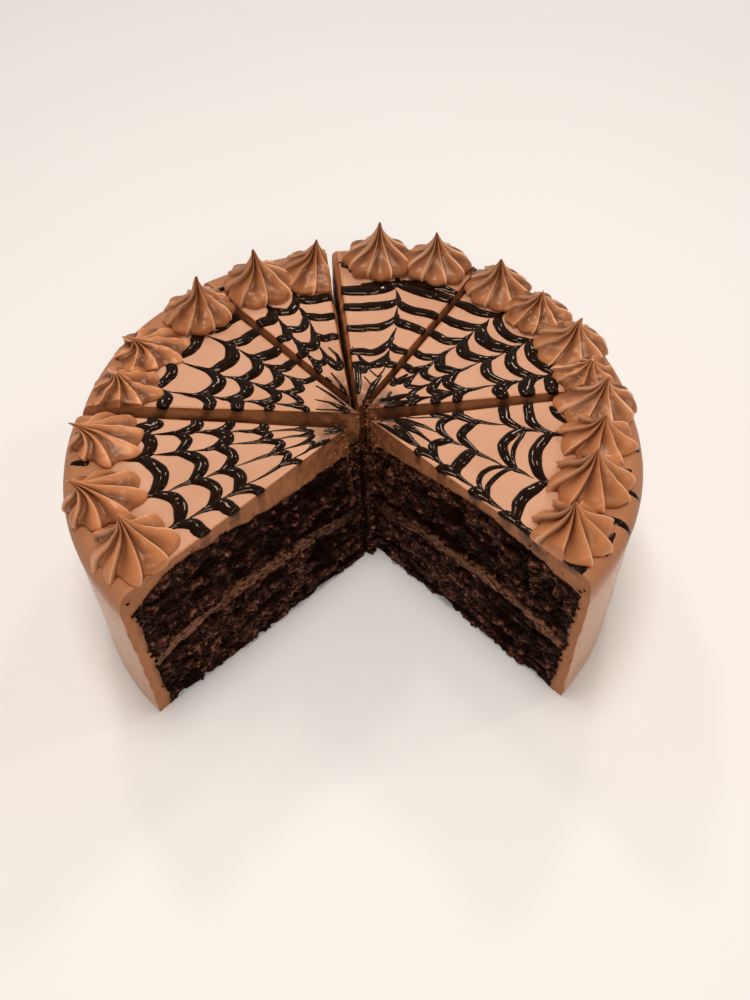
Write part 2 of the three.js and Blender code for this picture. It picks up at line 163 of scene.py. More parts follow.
# One entry for each slice: tip and foot of its point, the middle of its wall, the directions of
# its cuts, the flare of its wall at each cut, the dome of its sponge, the rise of its filling, and
# its web: the middle of the rings, the directions of the drag lines, and each ring's distances.
SLICES = {
    "f": {
        "tip": (6.5, -1.2), "foot": (6.5, -1.2), "centre": (1.6, -3.0), "cuts": (-48.0, 6.3),
        "flare": (0.6, 0.0), "dome": (6.5, 1.0), "rise": 9.0,
        "middle": (4.0, 9.0), "drags": (-50.3, -34.6, -15.9),
        "rings": ((76, 75.7, 69.7, 64.1), (62, 61.7, 59.2, 54.5), (46, 47.4, 40.7, 37),
                  (34, 35.2, 31.7, 28)),
    },
    "e": {
        "tip": (5.0, 5.6), "foot": (5.0, 5.6), "centre": (1.5, 5.5), "cuts": (4.6, 57.3),
        "flare": (0.0, 0.0), "dome": (5.0, 1.3), "rise": 7.0,
        "middle": (5.0, 5.6), "drags": (12.5, 28.0, 43.5),
        "rings": ((73.8, 74.5, 72.9, 76), (63.9, 63.9, 63.5, 64.2), (53.4, 52, 51.7, 52.4),
                  (35.8, 35.5, 38.5, 38.4), (27.4, 28, 29.9, 29), (18, 18, 21, 20)),
    },
    "d": {
        "tip": (1.9, 6.0), "foot": (1.9, 6.0), "centre": (0.6, 6.7), "cuts": (57.8, 94.0),
        "flare": (0.0, 0.0), "dome": (5.0, 1.3), "rise": 7.0,
        "middle": (1.9, 6.0), "drags": (76.0,),
        "rings": ((78, 74.6), (64.5, 63), (53.3, 48.6), (37.8, 33), (28.5, 25.2)),
    },
    "c": {
        "tip": (-1.5, 12.5), "foot": (-1.5, 12.5), "centre": (-0.8, 6.2), "cuts": (96.3, 128.8),
        "flare": (0.0, 0.0), "dome": (5.0, 1.3), "rise": 7.0,
        "middle": (-1.5, 8.0), "drags": (108.0, 118.5),
        "rings": ((68, 64, 63), (55.5, 51.5, 49), (41.5, 38.5, 36), (24, 27, 24)),
    },
    "b": {
        "tip": (1.5, 3.4), "foot": (1.5, 3.4), "centre": (0.3, 4.2), "cuts": (129.2, 175.1),
        "flare": (0.0, 0.0), "dome": (5.0, 1.3), "rise": 7.0,
        "middle": (1.5, 3.4), "drags": (141.0, 155.5, 168.6),
        "rings": ((78.5, 79.5, 79, 76), (64.9, 60.8, 58, 58.4), (50.3, 47.6, 45.6, 46.7),
                  (40, 36.6, 33, 34.8), (27, 27, 23, 20)),
    },
    "a": {
        "tip": (-3.5, -5.0), "foot": (2.5, -7.5), "centre": (-2.2, -3.7), "cuts": (173.3, 225.2),
        "flare": (0.0, 2.4), "dome": (7.5, 2.2), "rise": 8.0,
        "middle": (-3.5, -5.0), "drags": (179.6, 189.3, 203.6, 217.2),
        "rings": ((74.5, 73, 71, 69.5, 69.8), (57, 60, 56, 55.4, 56.2),
                  (44.4, 44.5, 44.1, 45, 44), (31, 29.5, 25.6, 25, 24), (16, 12.5, 13, 13.5, 11)),
    },
}

# One entry for each rosette: slice, middle of its foot, radius, height, lean of its peak, the
# direction of one rib, its twist in degrees, the curl of its very tip, how uneven it is, how far
# its toes are drawn out to points along the ribs, and how rounded its strands are.
ROSETTES = {
    "a1": ("a", (-76.5, -61), 15.3, 18, (-2, 1), 20, 18, (0, 0), 0.45, 0.8, 0.35),
    "a2": ("a", (-89.5, -38), 15, 14, (-10, -2), 5, 30, (0, 0), 0.4, 0.6, 0.8),
    "a3": ("a", (-92, -7.5), 14.3, 12, (-12.5, -2), 12, 30, (0, 0), 0.4, 0.6, 0.8),
    "b1": ("b", (-89.3, 19.5), 13.6, 9.5, (-3, 1), 30, 34, (0, 0), 1.2, 0.3, 0.85),
    "b2": ("b", (-81.5, 43.8), 14.3, 9.6, (-8.2, -2.5), 10, 40, (-2.5, 0.5), 0.9, 0.3, 0.85),
    "b3": ("b", (-64, 65), 14.6, 21.3, (1.3, -0.5), 25, 26, (0, 0), 0.9, 0.3, 0.2),
    "c1": ("c", (-40, 83.5), 15.2, 21, (-0.5, -0.8), 15, 26, (0, 0), 0.8, 0.35, 0.15),
    "c2": ("c", (-17, 92.3), 14.6, 19.3, (3.4, -1), 0, 24, (0, 0), 0.7, 0.25, 0.2),
    "d1": ("d", (13.3, 99.8), 14, 21.6, (0.6, -0.3), 22, 6, (0, 0), 0.15, 0.0, 0.0),
    "d2": ("d", (39.2, 95.2), 14.6, 18.8, (-0.7, -0.2), 8, 8, (0, 0), 0.25, 0.1, 0.0),
    "e1": ("e", (64.4, 77), 14.3, 17.2, (0.1, -0.5), 14, 12, (0, 0), 0.25, 0.2, 0.1),
    "e2": ("e", (78, 58.5), 14.3, 14, (2, 0), 33, 18, (0, 0), 0.9, 0.3, 0.25),
    "e3": ("e", (89.5, 37.5), 15.3, 15, (2, 0), 3, 16, (1, 1), 0.3, 0.4, 0.1),
    "e4": ("e", (92.5, 19.5), 13, 9, (2, 1), 18, 10, (0, 0), 1.4, 0.4, 0.4),
    "f1": ("f", (93.8, 3.2), 15.6, 14, (3, 1), 10, 14, (0, 0), 0.3, 0.3, 0.1),
    "f2": ("f", (90, -16), 15.5, 14, (2, 0), 28, 12, (0, 0), 0.4, 0.8, 0.1),
    "f3": ("f", (84.5, -37.5), 15.7, 18, (0, 1), 5, 8, (0, 0), 0.4, 0.8, 0.1),
    "f4": ("f", (73.5, -60.5), 15.6, 18, (-1, 0), 18, 6, (0, 0), 0.25, 0.9, 0.0),
}

# Strokes of ganache apart from the rings: the points of each, with its half width there
STROKES = {
    "f": (
        ((57, -56, 1.4), (60, -59.5, 2.0), (65.5, -64.8, 1.4)),
        ((100.5, -20, 1.2), (104.5, -19.6, 1.5), (107.3, -19.1, 0.4)),
        ((98, -31, 0.8), (99.3, -31.4, 1.1), (100.6, -31.2, 0.6)),
        ((96.5, -41, 0.6), (99, -41.8, 1.0), (101.5, -42, 0.6)),
        ((85, -52, 1.6), (90.5, -54.6, 1.5), (96.5, -56.4, 0.9)),
        ((88.6, -59.5, 0.5), (86.8, -63.5, 1.1), (84, -68, 0.9)),
        ((76.5, 3, 0.9), (78, -1, 1.4), (80.4, -5, 0.8)),
        ((66.5, -69.5, 1.0), (70.5, -72.5, 1.7), (73.5, -74.5, 2.3), (76, -73.5, 1.2)),
        ((10.5, -1.4, 0.5), (14.5, -1.0, 1.0), (20, -2, 1.2), (25.5, -4.5, 1.0), (31, -8, 0.25)),
        ((16, -1.5, 1.0), (20.5, -5, 1.8), (25, -9.5, 0.9), (30.5, -16, 0.2)),
        ((9.3, -2.6, 0.5), (12.5, -5, 0.9), (17, -9.5, 1.2), (21, -12.6, 1.5), (25, -17, 0.2)),
        ((15.5, -4.6, 0.9), (18.5, -8, 1.7), (21, -11.5, 1.3)),
        ((20, 0, 0.35), (32, -0.5, 0.4), (42, -2, 0.3)),
    ),
    "e": (
        ((98, 24.5, 1.6), (101, 24, 1.1), (104, 23.5, 0.5)),
        ((86, 16.5, 2.2), (88, 17.5, 2.2), (90, 18.5, 1.6)),
        ((11, 10.4, 1.0), (15, 10.2, 1.5), (20, 12.4, 1.2), (25, 12.2, 0.8)),
        ((13, 6.6, 1.0), (17, 7.8, 1.6), (21.5, 9, 1.1), (26, 9.8, 0.8)),
        ((14.5, 14.5, 0.7), (13.8, 12, 0.8), (15.5, 10.5, 1.0)),
        ((16, 19.5, 1.4), (18.5, 21.8, 1.1), (22, 25, 0.5)),
        ((9.5, 8.5, 0.5), (12.5, 9.5, 1.2), (15, 9.2, 1.3)),
    ),
    "d": (
        ((54, 93.5, 1.4), (56, 93, 1.4), (57.5, 92, 1.0)),
        ((-4.6, 101.2, 0.5), (-2.2, 102, 0.7), (0.2, 100.6, 0.8), (-0.8, 98, 0.8), (-3, 98.6, 0.7),
         (-3, 101, 0.6)),
        ((-0.8, 98, 0.5), (0.2, 95.5, 0.5), (0.9, 93.3, 0.3)),
        ((6, 84.5, 1.0), (14, 84.6, 2.0), (22, 84, 1.8)),
        ((24, 85.4, 1.6), (31, 83.6, 2.5), (39, 80.6, 2.5), (46, 76.8, 1.5)),
        ((0.1, 42.6, 0.2), (2.6, 37, 0.6), (5.1, 32.4, 1.2), (9.6, 30.4, 1.4), (14, 33, 1.1)),
        ((1.6, 29.6, 1.3), (4.6, 27.3, 1.4), (6.3, 30, 0.7)),
        ((2, 29, 1.5), (2.1, 22, 1.3), (1.9, 14.5, 0.9)),
        ((6.9, 28.5, 0.3), (10.1, 24.2, 0.5), (13.3, 30.4, 0.3)),
        ((11.5, 24.5, 0.6), (8.4, 19, 1.3), (6.2, 13.5, 1.2), (4.4, 9, 0.7)),
        ((4.6, 24, 0.3), (6.9, 19.5, 0.4)),
    ),
    "c": (
        ((-57, 83, 1.4), (-55, 84.5, 1.4), (-53, 85.5, 1.0)),
        ((-9.3, 42.6, 0.4), (-6.2, 37.6, 0.8), (-5.0, 33, 1.4), (-5.6, 29.6, 1.5), (-8.6, 31.5, 0.8)),
        ((-8.8, 27.2, 0.3), (-5.4, 20.5, 0.6), (-3.6, 16.3, 1.0), (-2.6, 13.4, 0.6)),
        ((-10.6, 24, 0.3), (-6.5, 17, 0.5), (-3.3, 13.8, 0.3)),
    ),
    "b": (
        ((-14.5, 19.5, 0.4), (-9, 14, 0.6), (-5.5, 10.3, 0.6), (-3.2, 8.0, 0.5)),
        ((-14.7, 11.5, 0.3), (-10, 10, 0.5), (-6.5, 7.6, 0.9)),
        ((-7, 8, 0.8), (-4.4, 6.4, 1.3), (-2.4, 5, 0.9)),
        ((-14.5, 6.2, 0.35), (-8, 5.3, 0.5), (-2.2, 4, 0.5)),
    ),
    "a": (
        ((-81, -1.5, 3.2), (-78.5, -0.8, 3.2), (-76, 0.2, 3.0)),
        ((-100, -19, 1.6), (-102, -18.8, 1.4), (-104, -18.6, 1.0)),
        ((-10.8, -5.8, 0.6), (-7.5, -5.2, 1.3), (-5.2, -5.2, 1.0)),
        ((-11.5, -8, 0.3), (-8, -6.8, 0.7), (-6, -5.8, 0.9)),
        ((-16.5, -14.8, 0.4), (-12.8, -12.2, 0.9), (-9.8, -11.6, 1.2), (-8.4, -13.8, 1.3)),
    ),
}

# Ring lines that split in two: slice, ring and sector, then the shift and the width share of each
DOUBLED = {
    ("f", 1, 1): ((-4.6, 0.5), (0.4, 0.48)),
    ("f", 1, 2): ((-1.7, 0.85), (2.6, 0.4)),
}

# Widths of the ganache lines on each slice, times the usual ones
WEB_WIDTHS = {"a": 1.0, "b": 1.12, "c": 1.12, "d": 1.2, "e": 1.12, "f": 0.96}

# How much of the room between two slices their cuts fill further down: from the first cut to the last
GAP_FILLS = {
    "f": (0, 0.2), "e": (0.2, 0.35), "d": (0.35, 0.9),
    "c": (0.9, 0.35), "b": (0.35, 0.2), "a": (0.2, 0),
}
SLICE_ORDER = "fedcba"
UPWARDS = np.array([0, 0, 1.0])

# The column of crumb between the slices' points, and the lumps on them: slice, cut, count, reach
CORE_FOOT = (3.2, -2.6)
CORE_TOP = (2.2, -0.6)
CORE_HEIGHT = 62.0
CORE_SLOT = 277.0
TIP_LUMPS = (("a", 1, 26, 0.1), ("a", 0, 20, 0.1), ("b", 1, 40, 0.12), ("b", 0, 12, 0.08), ("c", 0, 14, 0.1),
             ("d", 0, 14, 0.1), ("d", 1, 14, 0.1), ("e", 0, 22, 0.08), ("e", 1, 16, 0.1), ("f", 0, 18, 0.1),
             ("f", 1, 14, 0.08))

# Heaps of the same lumps on the top: middle, spread and count
LUMP_HEAPS = (((7.6, 7.6, 76.3), (1.3, 1.1, 0.5), 26), ((-58.0, 80.0, 75.8), (4.0, 2.4, 0.5), 26),
              ((51.0, 91.0, 76.6), (2.2, 1.6, 1.0), 30))

# How far the sponge's top and the filling lie above or below their curves, from tip to wall
TOP_SHIFTS = {
    "a": (0, 0, -1, -2, -2.5, -3, -1.5, -1, 1.2, 1.2, 0),
    "f": (0, -1, -2, -2.5, -1, 0, 1, 0, 0.5, 0, 0),
}
FILLING_SHIFTS = {
    "a": (0, 0, 0, -0.5, -1, -1, -1.5, -1.5, -1, 0, 0),
    "f": (0, 0, 0, 0, -1, -1.5, -2, -2.5, -2.5, -1.5, 0),
}

# How far, in degrees for each millimetre inwards, a slice's drag lines bend clockwise
DRAG_BENDS = {"a": 0.0, "b": 0.0, "c": 0.0, "d": 0.17, "e": 0.0, "f": 0.0}


def to_metres(points):
    """Points from the middle of the uncut cake in millimetres, less the middle of the box, in metres."""
    return (points - np.array([BOX_MIDDLE[0], BOX_MIDDLE[1], 0.0])) * 0.001


def mix(low, high, share):
    """A share of the way from low to high."""
    return low + (high - low) * share


def lattice(cell, seed):
    """A number from 0 to 1 for each cell of whole numbers: its three numbers are multiplied by
    large primes, added, and their bits folded over twice."""
    cell = cell.astype(np.int64).astype(np.uint32)
    mixed = cell[..., 0] * np.uint32(374761393) + cell[..., 1] * np.uint32(668265263)
    mixed = mixed + cell[..., 2] * np.uint32(2147483647) + np.uint32(seed * 144665 + 101)
    mixed = (mixed ^ (mixed >> np.uint32(13))) * np.uint32(1274126177)
    mixed = (mixed ^ (mixed >> np.uint32(15))) * np.uint32(2246822519)
    mixed = mixed ^ (mixed >> np.uint32(16))
    return (mixed & np.uint32(0xFFFF)) / 65535.0


def clouds(points, size, seed):
    """Smooth unevenness from -1 to 1: lattice numbers at the corners of cubes of that size, mixed
    along each axis by the share 3s^2 - 2s^3."""
    scaled = points / size
    cell = np.floor(scaled)
    share = scaled - cell
    share = share * share * (3.0 - 2.0 * share)
    total = np.zeros(points.shape[:-1])
    for corner in range(8):
        step = np.array([corner & 1, (corner >> 1) & 1, corner >> 2])
        weight = np.prod(np.where(step == 1, share, 1.0 - share), axis=-1)
        total += weight * lattice(cell + step, seed)
    return total * 2.0 - 1.0


def summed_clouds(points, waves):
    """The sum of several clouds, each given by its amount, its size and its seed."""
    return sum(amount * clouds(points, size, seed) for amount, size, seed in waves)


def on_plan(flat):
    """Flat points, given a height of nought."""
    return np.concatenate([flat, np.zeros((*flat.shape[:-1], 1))], -1)


def lumps(points, size, seed):
    """Distance to the nearest of scattered points, one in each cube of that size, over the size."""
    scaled = points / size
    cell = np.floor(scaled)
    nearest = np.full(points.shape[:-1], 9.0)
    for corner in range(27):
        step = np.array([corner % 3 - 1, corner // 3 % 3 - 1, corner // 9 - 1])
        home = cell + step
        spot = np.stack([lattice(home, seed), lattice(home, seed + 1), lattice(home, seed + 2)], -1)
        nearest = np.minimum(nearest, np.linalg.norm(home + spot - scaled, axis=-1))
    return nearest


def flowing(values, shares):
    """A smooth curve through evenly spaced values: between two of them a cubic, whose slope at each
    is half the step between its neighbours."""
    values = np.asarray(values, float)
    padded = np.concatenate([[2 * values[0] - values[1]], values, [2 * values[-1] - values[-2]]])
    place = np.clip(shares, 0, 1) * (len(values) - 1)
    index = np.minimum(place.astype(int), len(values) - 2)
    t = place - index
    a, b, c, d = padded[index], padded[index + 1], padded[index + 2], padded[index + 3]
    return 0.5 * (2 * b + (c - a) * t + (2 * a - 5 * b + 4 * c - d) * t**2 + (3 * b - a - 3 * c + d) * t**3)


def heading(degrees):
    """The flat unit vector, or vectors, in a direction: its cosine and sine."""
    turned = np.radians(degrees)
    return np.stack([np.cos(turned), np.sin(turned)], -1)


def meet_circle(start, degrees, centre, radius):
    """Where lines from a point meet a circle. With the offset of the point from the centre, the
    length is less its part along the line, plus the root of that part squared, less the offset
    squared, plus the radius squared."""
    along = heading(degrees)
    offset = np.asarray(start, float) - np.asarray(centre, float)
    part = along @ offset
    reach = -part + np.sqrt(part**2 - offset @ offset + np.asarray(radius) ** 2)
    return np.asarray(start, float) + along * np.asarray(reach)[..., None]


def slice_points(cut, turn, reach, radius, z):
    """Points of a slice: turn goes from one cut to the other, and reach from the slice's point,
    which moves from foot to tip with the height, to a circle of the given radius."""
    degrees = mix(cut["cuts"][0], cut["cuts"][1], turn)
    rim = meet_circle(cut["tip"], degrees, cut["centre"], radius)
    share = np.clip(z / CAKE_TOP, 0, 1)[..., None]
    point = mix(np.array(cut["foot"]), np.array(cut["tip"]), share)
    flat = mix(point, rim, reach[..., None])
    return np.concatenate([flat, z[..., None]], -1)


def wave(turn, reach):
    """Gentle unevenness of the layers: a sine along the slice that fades at tip and wall."""
    return LAYER_WAVE * np.sin(5 * turn + 9 * reach) * reach * (1 - reach) * 4


def ragged(cut, turn, reach, amount, seed):
    """The torn edge of a layer: two sizes of unevenness at the plan's own points."""
    plan = slice_points(cut, turn, reach, np.full(turn.shape, CAKE_RADIUS), np.zeros(turn.shape))
    return amount * summed_clouds(plan, [(share, size, seed + step) for share, size, step in LAYER_EDGE])


def shifted(shifts, cut, reach):
    """The shift of a slice's layer along its length, or none."""
    for name, values in shifts.items():
        if SLICES[name] is cut:
            return flowing(values, reach)
    return np.zeros(reach.shape)


def filling_height(cut, turn, reach, side):
    """Height of the filling's lower or upper face: a hump along the slice, plus half its thickness."""
    hump = cut["rise"] * np.sin(np.pi * reach**FILLING_PEAK_SHIFT) + shifted(FILLING_SHIFTS, cut, reach)
    torn = ragged(cut, turn, reach, 1.5, 31 + int(side))
    return FILLING_MIDDLE + hump + wave(turn, reach) + side * FILLING_THICKNESS / 2 + torn


def sponge_top(cut, turn, reach):
    """Height of the sponge under the frosting: a dome along the slice."""
    dome = cut["dome"][0] * np.sin(np.pi * reach ** cut["dome"][1]) + shifted(TOP_SHIFTS, cut, reach)
    return SPONGE_TOP + dome + wave(turn + 1, reach) + ragged(cut, turn, reach, 1.2, 41)


def sponge_radius(z, turn):
    """The sponge reaches a little further out at the top than at the bottom, with a torn edge."""
    spot = np.stack([turn * 90.0, np.zeros(z.shape), z], -1)
    return CAKE_RADIUS - WALL_THICKNESS + SPONGE_LEAN * z / SPONGE_TOP + summed_clouds(spot, SPONGE_EDGE)


def block_faces(steps):
    """The outside of a block of steps by steps by steps: the whole-number place of each surface
    point, and four-sided faces between them, wound outwards for right-handed axes."""
    nu, nv, nw = steps
    grid = np.indices((nu + 1, nv + 1, nw + 1)).reshape(3, -1).T
    outer = np.any((grid == 0) | (grid == np.array(steps)), axis=1)
    number = np.full(len(grid), -1)
    number[outer] = np.arange(outer.sum())
    number = number.reshape(nu + 1, nv + 1, nw + 1)
    faces = []
    for axis in range(3):
        for end in (0, -1):
            sheet = np.take(number, end, axis=axis)
            quad = np.stack([sheet[:-1, :-1], sheet[1:, :-1], sheet[1:, 1:], sheet[:-1, 1:]], -1)
            quad = quad.reshape(-1, 4)
            turned = (axis == 1) != (end == 0)
            faces.append(quad[:, ::-1] if turned else quad)
    return grid[outer], np.concatenate(faces)


def grid_quads(rows, columns):
    """Four-sided faces over a grid of points that are numbered row by row."""
    corner = (np.arange(rows - 1)[:, None] * columns + np.arange(columns - 1)).ravel()
    return np.stack([corner, corner + 1, corner + 1 + columns, corner + columns], 1)


def turned_faces(rows, around):
    """Faces over rows of points that go round, numbered row by row. The last row is closed by a fan
    to the next point after them all, and the first row by a fan to the one after that."""
    number = np.arange(rows * around).reshape(rows, around)
    right = np.roll(number, -1, axis=1)
    quads = np.stack([number[:-1], right[:-1], right[1:], number[1:]], -1).reshape(-1, 4)
    last = np.full(around, rows * around)
    cap = np.stack([number[-1], right[-1], last, last], -1)
    sole = np.stack([right[0], number[0], last + 1, last + 1], -1)
    return np.concatenate([quads, cap, sole])


def welded(points, faces):
    """Joins points that lie together, and drops the faces that this leaves with no area. Also
    gives the first of the points that each one comes from."""
    keys = np.round(points * 1e3).astype(np.int64)
    _, first, back = np.unique(keys, axis=0, return_index=True, return_inverse=True)
    back = back.reshape(-1)
    faces = back[faces]
    same = faces == np.roll(faces, -1, axis=1)
    faces = faces[same.sum(1) < 2]
    return points[first], faces, first


def add_mesh(name, points, faces, values=None):
    """Puts points in millimetres and faces of three or four corners into a new object. A corner
    that repeats the one before it is left out. Values are kept as named numbers of the points."""
    keep = faces != np.roll(faces, -1, axis=1)
    count = keep.sum(1)
    faces = faces[count >= 3]
    keep = keep[count >= 3]
    count = count[count >= 3]
    loops = faces[keep]
    mesh = bpy.data.meshes.new(name)
    mesh.vertices.add(len(points))
    mesh.vertices.foreach_set("co", to_metres(points).astype(np.float32).ravel())
    mesh.loops.add(len(loops))
    mesh.loops.foreach_set("vertex_index", loops.astype(np.int32))
    mesh.polygons.add(len(faces))
    mesh.polygons.foreach_set("loop_start", np.concatenate([[0], np.cumsum(count)[:-1]]).astype(np.int32))
    mesh.polygons.foreach_set("use_smooth", np.ones(len(faces), bool))
    mesh.update(calc_edges=True)
    for key, numbers in (values or {}).items():
        layer = mesh.attributes.new(key, "FLOAT", "POINT")
        layer.data.foreach_set("value", np.asarray(numbers, np.float32).ravel())
    mesh.validate()
    piece = bpy.data.objects.new(name, mesh)
    bpy.context.scene.collection.objects.link(piece)
    return piece


def welded_mesh(name, points, faces, values):
    """A mesh whose points are joined where they lie together, with the numbers kept on them."""
    points, faces, first = welded(points, faces)
    return add_mesh(name, points, faces, {key: number[first] for key, number in values.items()})


def dress(piece, material, slot, *nodes, crease=None):
    """Gives a piece its material and its ride, and hides the nodes that it stands for.
    The slot is not used.
    """
    piece.data.materials.append(material)
    if crease is not None:
        piece.data.set_sharp_from_angle(angle=math.radians(crease))
    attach(piece, BODY)
    if nodes:
        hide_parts(*nodes)
    return piece


# Materials
WARM_GLEAM = (1.0, 0.66, 0.46, 1.0)
CRUMB_GLEAM = (1.0, 0.55, 0.4, 1.0)
DARK_GLEAM = (1.0, 0.64, 0.45, 1.0)


def node_of(tree, kind, **inputs):
    """Adds a shader node and sets the sockets named."""
    node = tree.nodes.new(kind)
    for key, value in inputs.items():
        node.inputs[key.replace("_", " ")].default_value = value
    return node


def new_material(name, **surface):
    """A material with a Principled surface, its plain values set on the sockets, and its tree."""
    material = bpy.data.materials.new(name)
    material.use_nodes = True
    tree = material.node_tree
    shader = tree.nodes["Principled BSDF"]
    for key, value in surface.items():
        shader.inputs[key.replace("_", " ")].default_value = value
    place = tree.nodes.new("ShaderNodeTexCoord")
    return material, tree, shader, place.outputs["Object"]


def unevenness(tree, place, scale, detail=3.0, rough=0.5, stretch=None):
    """A cloud pattern from the object's own coordinates, from 0 to 1."""
    if stretch:
        mapping = tree.nodes.new("ShaderNodeMapping")
        mapping.inputs["Scale"].default_value = stretch
        tree.links.new(place, mapping.inputs["Vector"])
        place = mapping.outputs["Vector"]
    noise = node_of(tree, "ShaderNodeTexNoise", Scale=scale, Detail=detail, Roughness=rough)
    tree.links.new(place, noise.inputs["Vector"])
    return noise.outputs["Fac"]


def banded(tree, value, low, high):
    """Stretches a value so that low becomes 0 and high becomes 1."""
    return ranged(tree, value, From_Min=low, From_Max=high)


def blended(tree, share, first, second):
    """Mixes two colours, each a colour or an output, by a share that is an output."""
    node = tree.nodes.new("ShaderNodeMix")
    node.data_type = "RGBA"
    tree.links.new(share, node.inputs["Factor"])
    for socket, colour in ((node.inputs[6], first), (node.inputs[7], second)):
        if hasattr(colour, "links"):
            tree.links.new(colour, socket)
        else:
            socket.default_value = (*colour[:3], 1.0)
    return node.outputs[2]


def combined(tree, kind, first, second):
    """Adds or multiplies two numbers. A product is kept between 0 and 1."""
    node = tree.nodes.new("ShaderNodeMath")
    node.operation = kind
    node.use_clamp = kind != "ADD"
    for socket, value in zip(node.inputs, (first, second)):
        if hasattr(value, "links"):
            tree.links.new(value, socket)
        else:
            socket.default_value = value
    return node.outputs["Value"]


def product(tree, first, second):
    """Multiplies two numbers."""
    return combined(tree, "MULTIPLY", first, second)


def ranged(tree, value, **ends):
    """Takes a value from one range to another."""
    node = node_of(tree, "ShaderNodeMapRange", **ends)
    tree.links.new(value, node.inputs["Value"])
    return node.outputs["Result"]


def kept_number(tree, name):
    """A number kept on the mesh's points."""
    node = tree.nodes.new("ShaderNodeAttribute")
    node.attribute_name = name
    return node.outputs["Fac"]


def bumped(tree, shader, height, depth, strength=1.0):
    """Fine relief from a height, its depth in millimetres."""
    bump = tree.nodes.new("ShaderNodeBump")
    bump.inputs["Distance"].default_value = depth * 0.001
    bump.inputs["Strength"].default_value = strength
    tree.links.new(height, bump.inputs["Height"])
    tree.links.new(bump.outputs["Normal"], shader.inputs["Normal"])


def frosting_material(name, looks):
    """Whipped chocolate frosting: an even milk brown, with painted shade that makes it redder and darker
    towards the rim and where it is cut, and a painted sheen of light from the floor that makes it paler
    down the wall, with spatula marks, stains of crumb and smears of ganache."""
    material, tree, shader, place = new_material(
        name, Roughness=0.45, Specular_IOR_Level=0.2, Specular_Tint=WARM_GLEAM, Subsurface_Weight=0.06,
        Subsurface_Radius=(0.004, 0.0022, 0.0013), Subsurface_Scale=0.5)
    shade = unevenness(tree, place, 45.0, 4.0)
    fine = unevenness(tree, place, 420.0, 3.0)
    colour = blended(tree, banded(tree, shade, 0.35, 0.7), looks.frosting_colour, looks.frosting_shade)
    streaks = unevenness(tree, place, 60.0, 4.0, 0.6, stretch=(1.0, 1.0, 9.0))
    wall = kept_number(tree, "wall")
    # Painted sheen: the wall is paler, as if lit from the floor, more so along the spatula marks
    pale = ranged(tree, streaks, From_Min=0.3, From_Max=0.7, To_Min=0.55, To_Max=1.0)
    colour = blended(tree, product(tree, wall, pale), colour, looks.wall_sheen_colour)
    # Painted shade: the rim behind and between the rosettes is darker and redder, as if in their shade
    colour = blended(tree, kept_number(tree, "rim"), colour, looks.rim_shade_colour)
    # Painted shade: the cut faces, turned from the light, darker and redder than the top
    colour = blended(tree, product(tree, kept_number(tree, "cut"), 0.9), colour, looks.cut_shade_colour)
    coarse = unevenness(tree, place, 190.0, 4.0, 0.65)
    stain = product(tree, kept_number(tree, "stain"), banded(tree, coarse, 0.22, 0.52))
    colour = blended(tree, stain, colour, looks.stain_colour)
    smear = product(tree, kept_number(tree, "smear"), banded(tree, coarse, 0.22, 0.66))
    colour = blended(tree, smear, colour, looks.ganache_shade)
    tree.links.new(colour, shader.inputs["Base Color"])
    tree.links.new(ranged(tree, wall, To_Min=0.45, To_Max=0.27), shader.inputs["Roughness"])
    drawn = product(tree, streaks, ranged(tree, wall, To_Min=0.14, To_Max=0.8))
    relief = combined(tree, "ADD", drawn, product(tree, fine, 0.14))
    bumped(tree, shader, relief, 1.0, 0.7)
    return material


def piping_material(name, looks):
    """The same frosting, piped, its colour made deeper and redder as painted shade: paler along the thin
    crests, partly as a painted highlight, and darker in the folds as painted shade.
    """
    material, tree, shader, place = new_material(
        name, Roughness=0.33, Specular_IOR_Level=0.46, Specular_Tint=WARM_GLEAM, Subsurface_Weight=0.04,
        Subsurface_Radius=(0.003, 0.0012, 0.0006), Subsurface_Scale=0.4)
    shade = unevenness(tree, place, 90.0, 3.0)
    # Painted shade: the piping takes the frosting's colour made deeper and redder
    colour = blended(tree, banded(tree, shade, 0.35, 0.7), looks.shaded_piping_colour, looks.piping_shade)
    # Painted shade: the folds darker towards the peak, and a dark line beside each crest
    colour = blended(tree, product(tree, kept_number(tree, "fold"), 0.95), colour, looks.fold_shade_colour)
    # Painted highlight: a pale line along each crest, partly the frosting paler where it is thin
    colour = blended(tree, kept_number(tree, "crest"), colour, looks.crest_highlight_colour)
    tree.links.new(colour, shader.inputs["Base Color"])
    fine = unevenness(tree, place, 520.0, 2.0)
    bumped(tree, shader, fine, 0.12, 0.5)
    return material


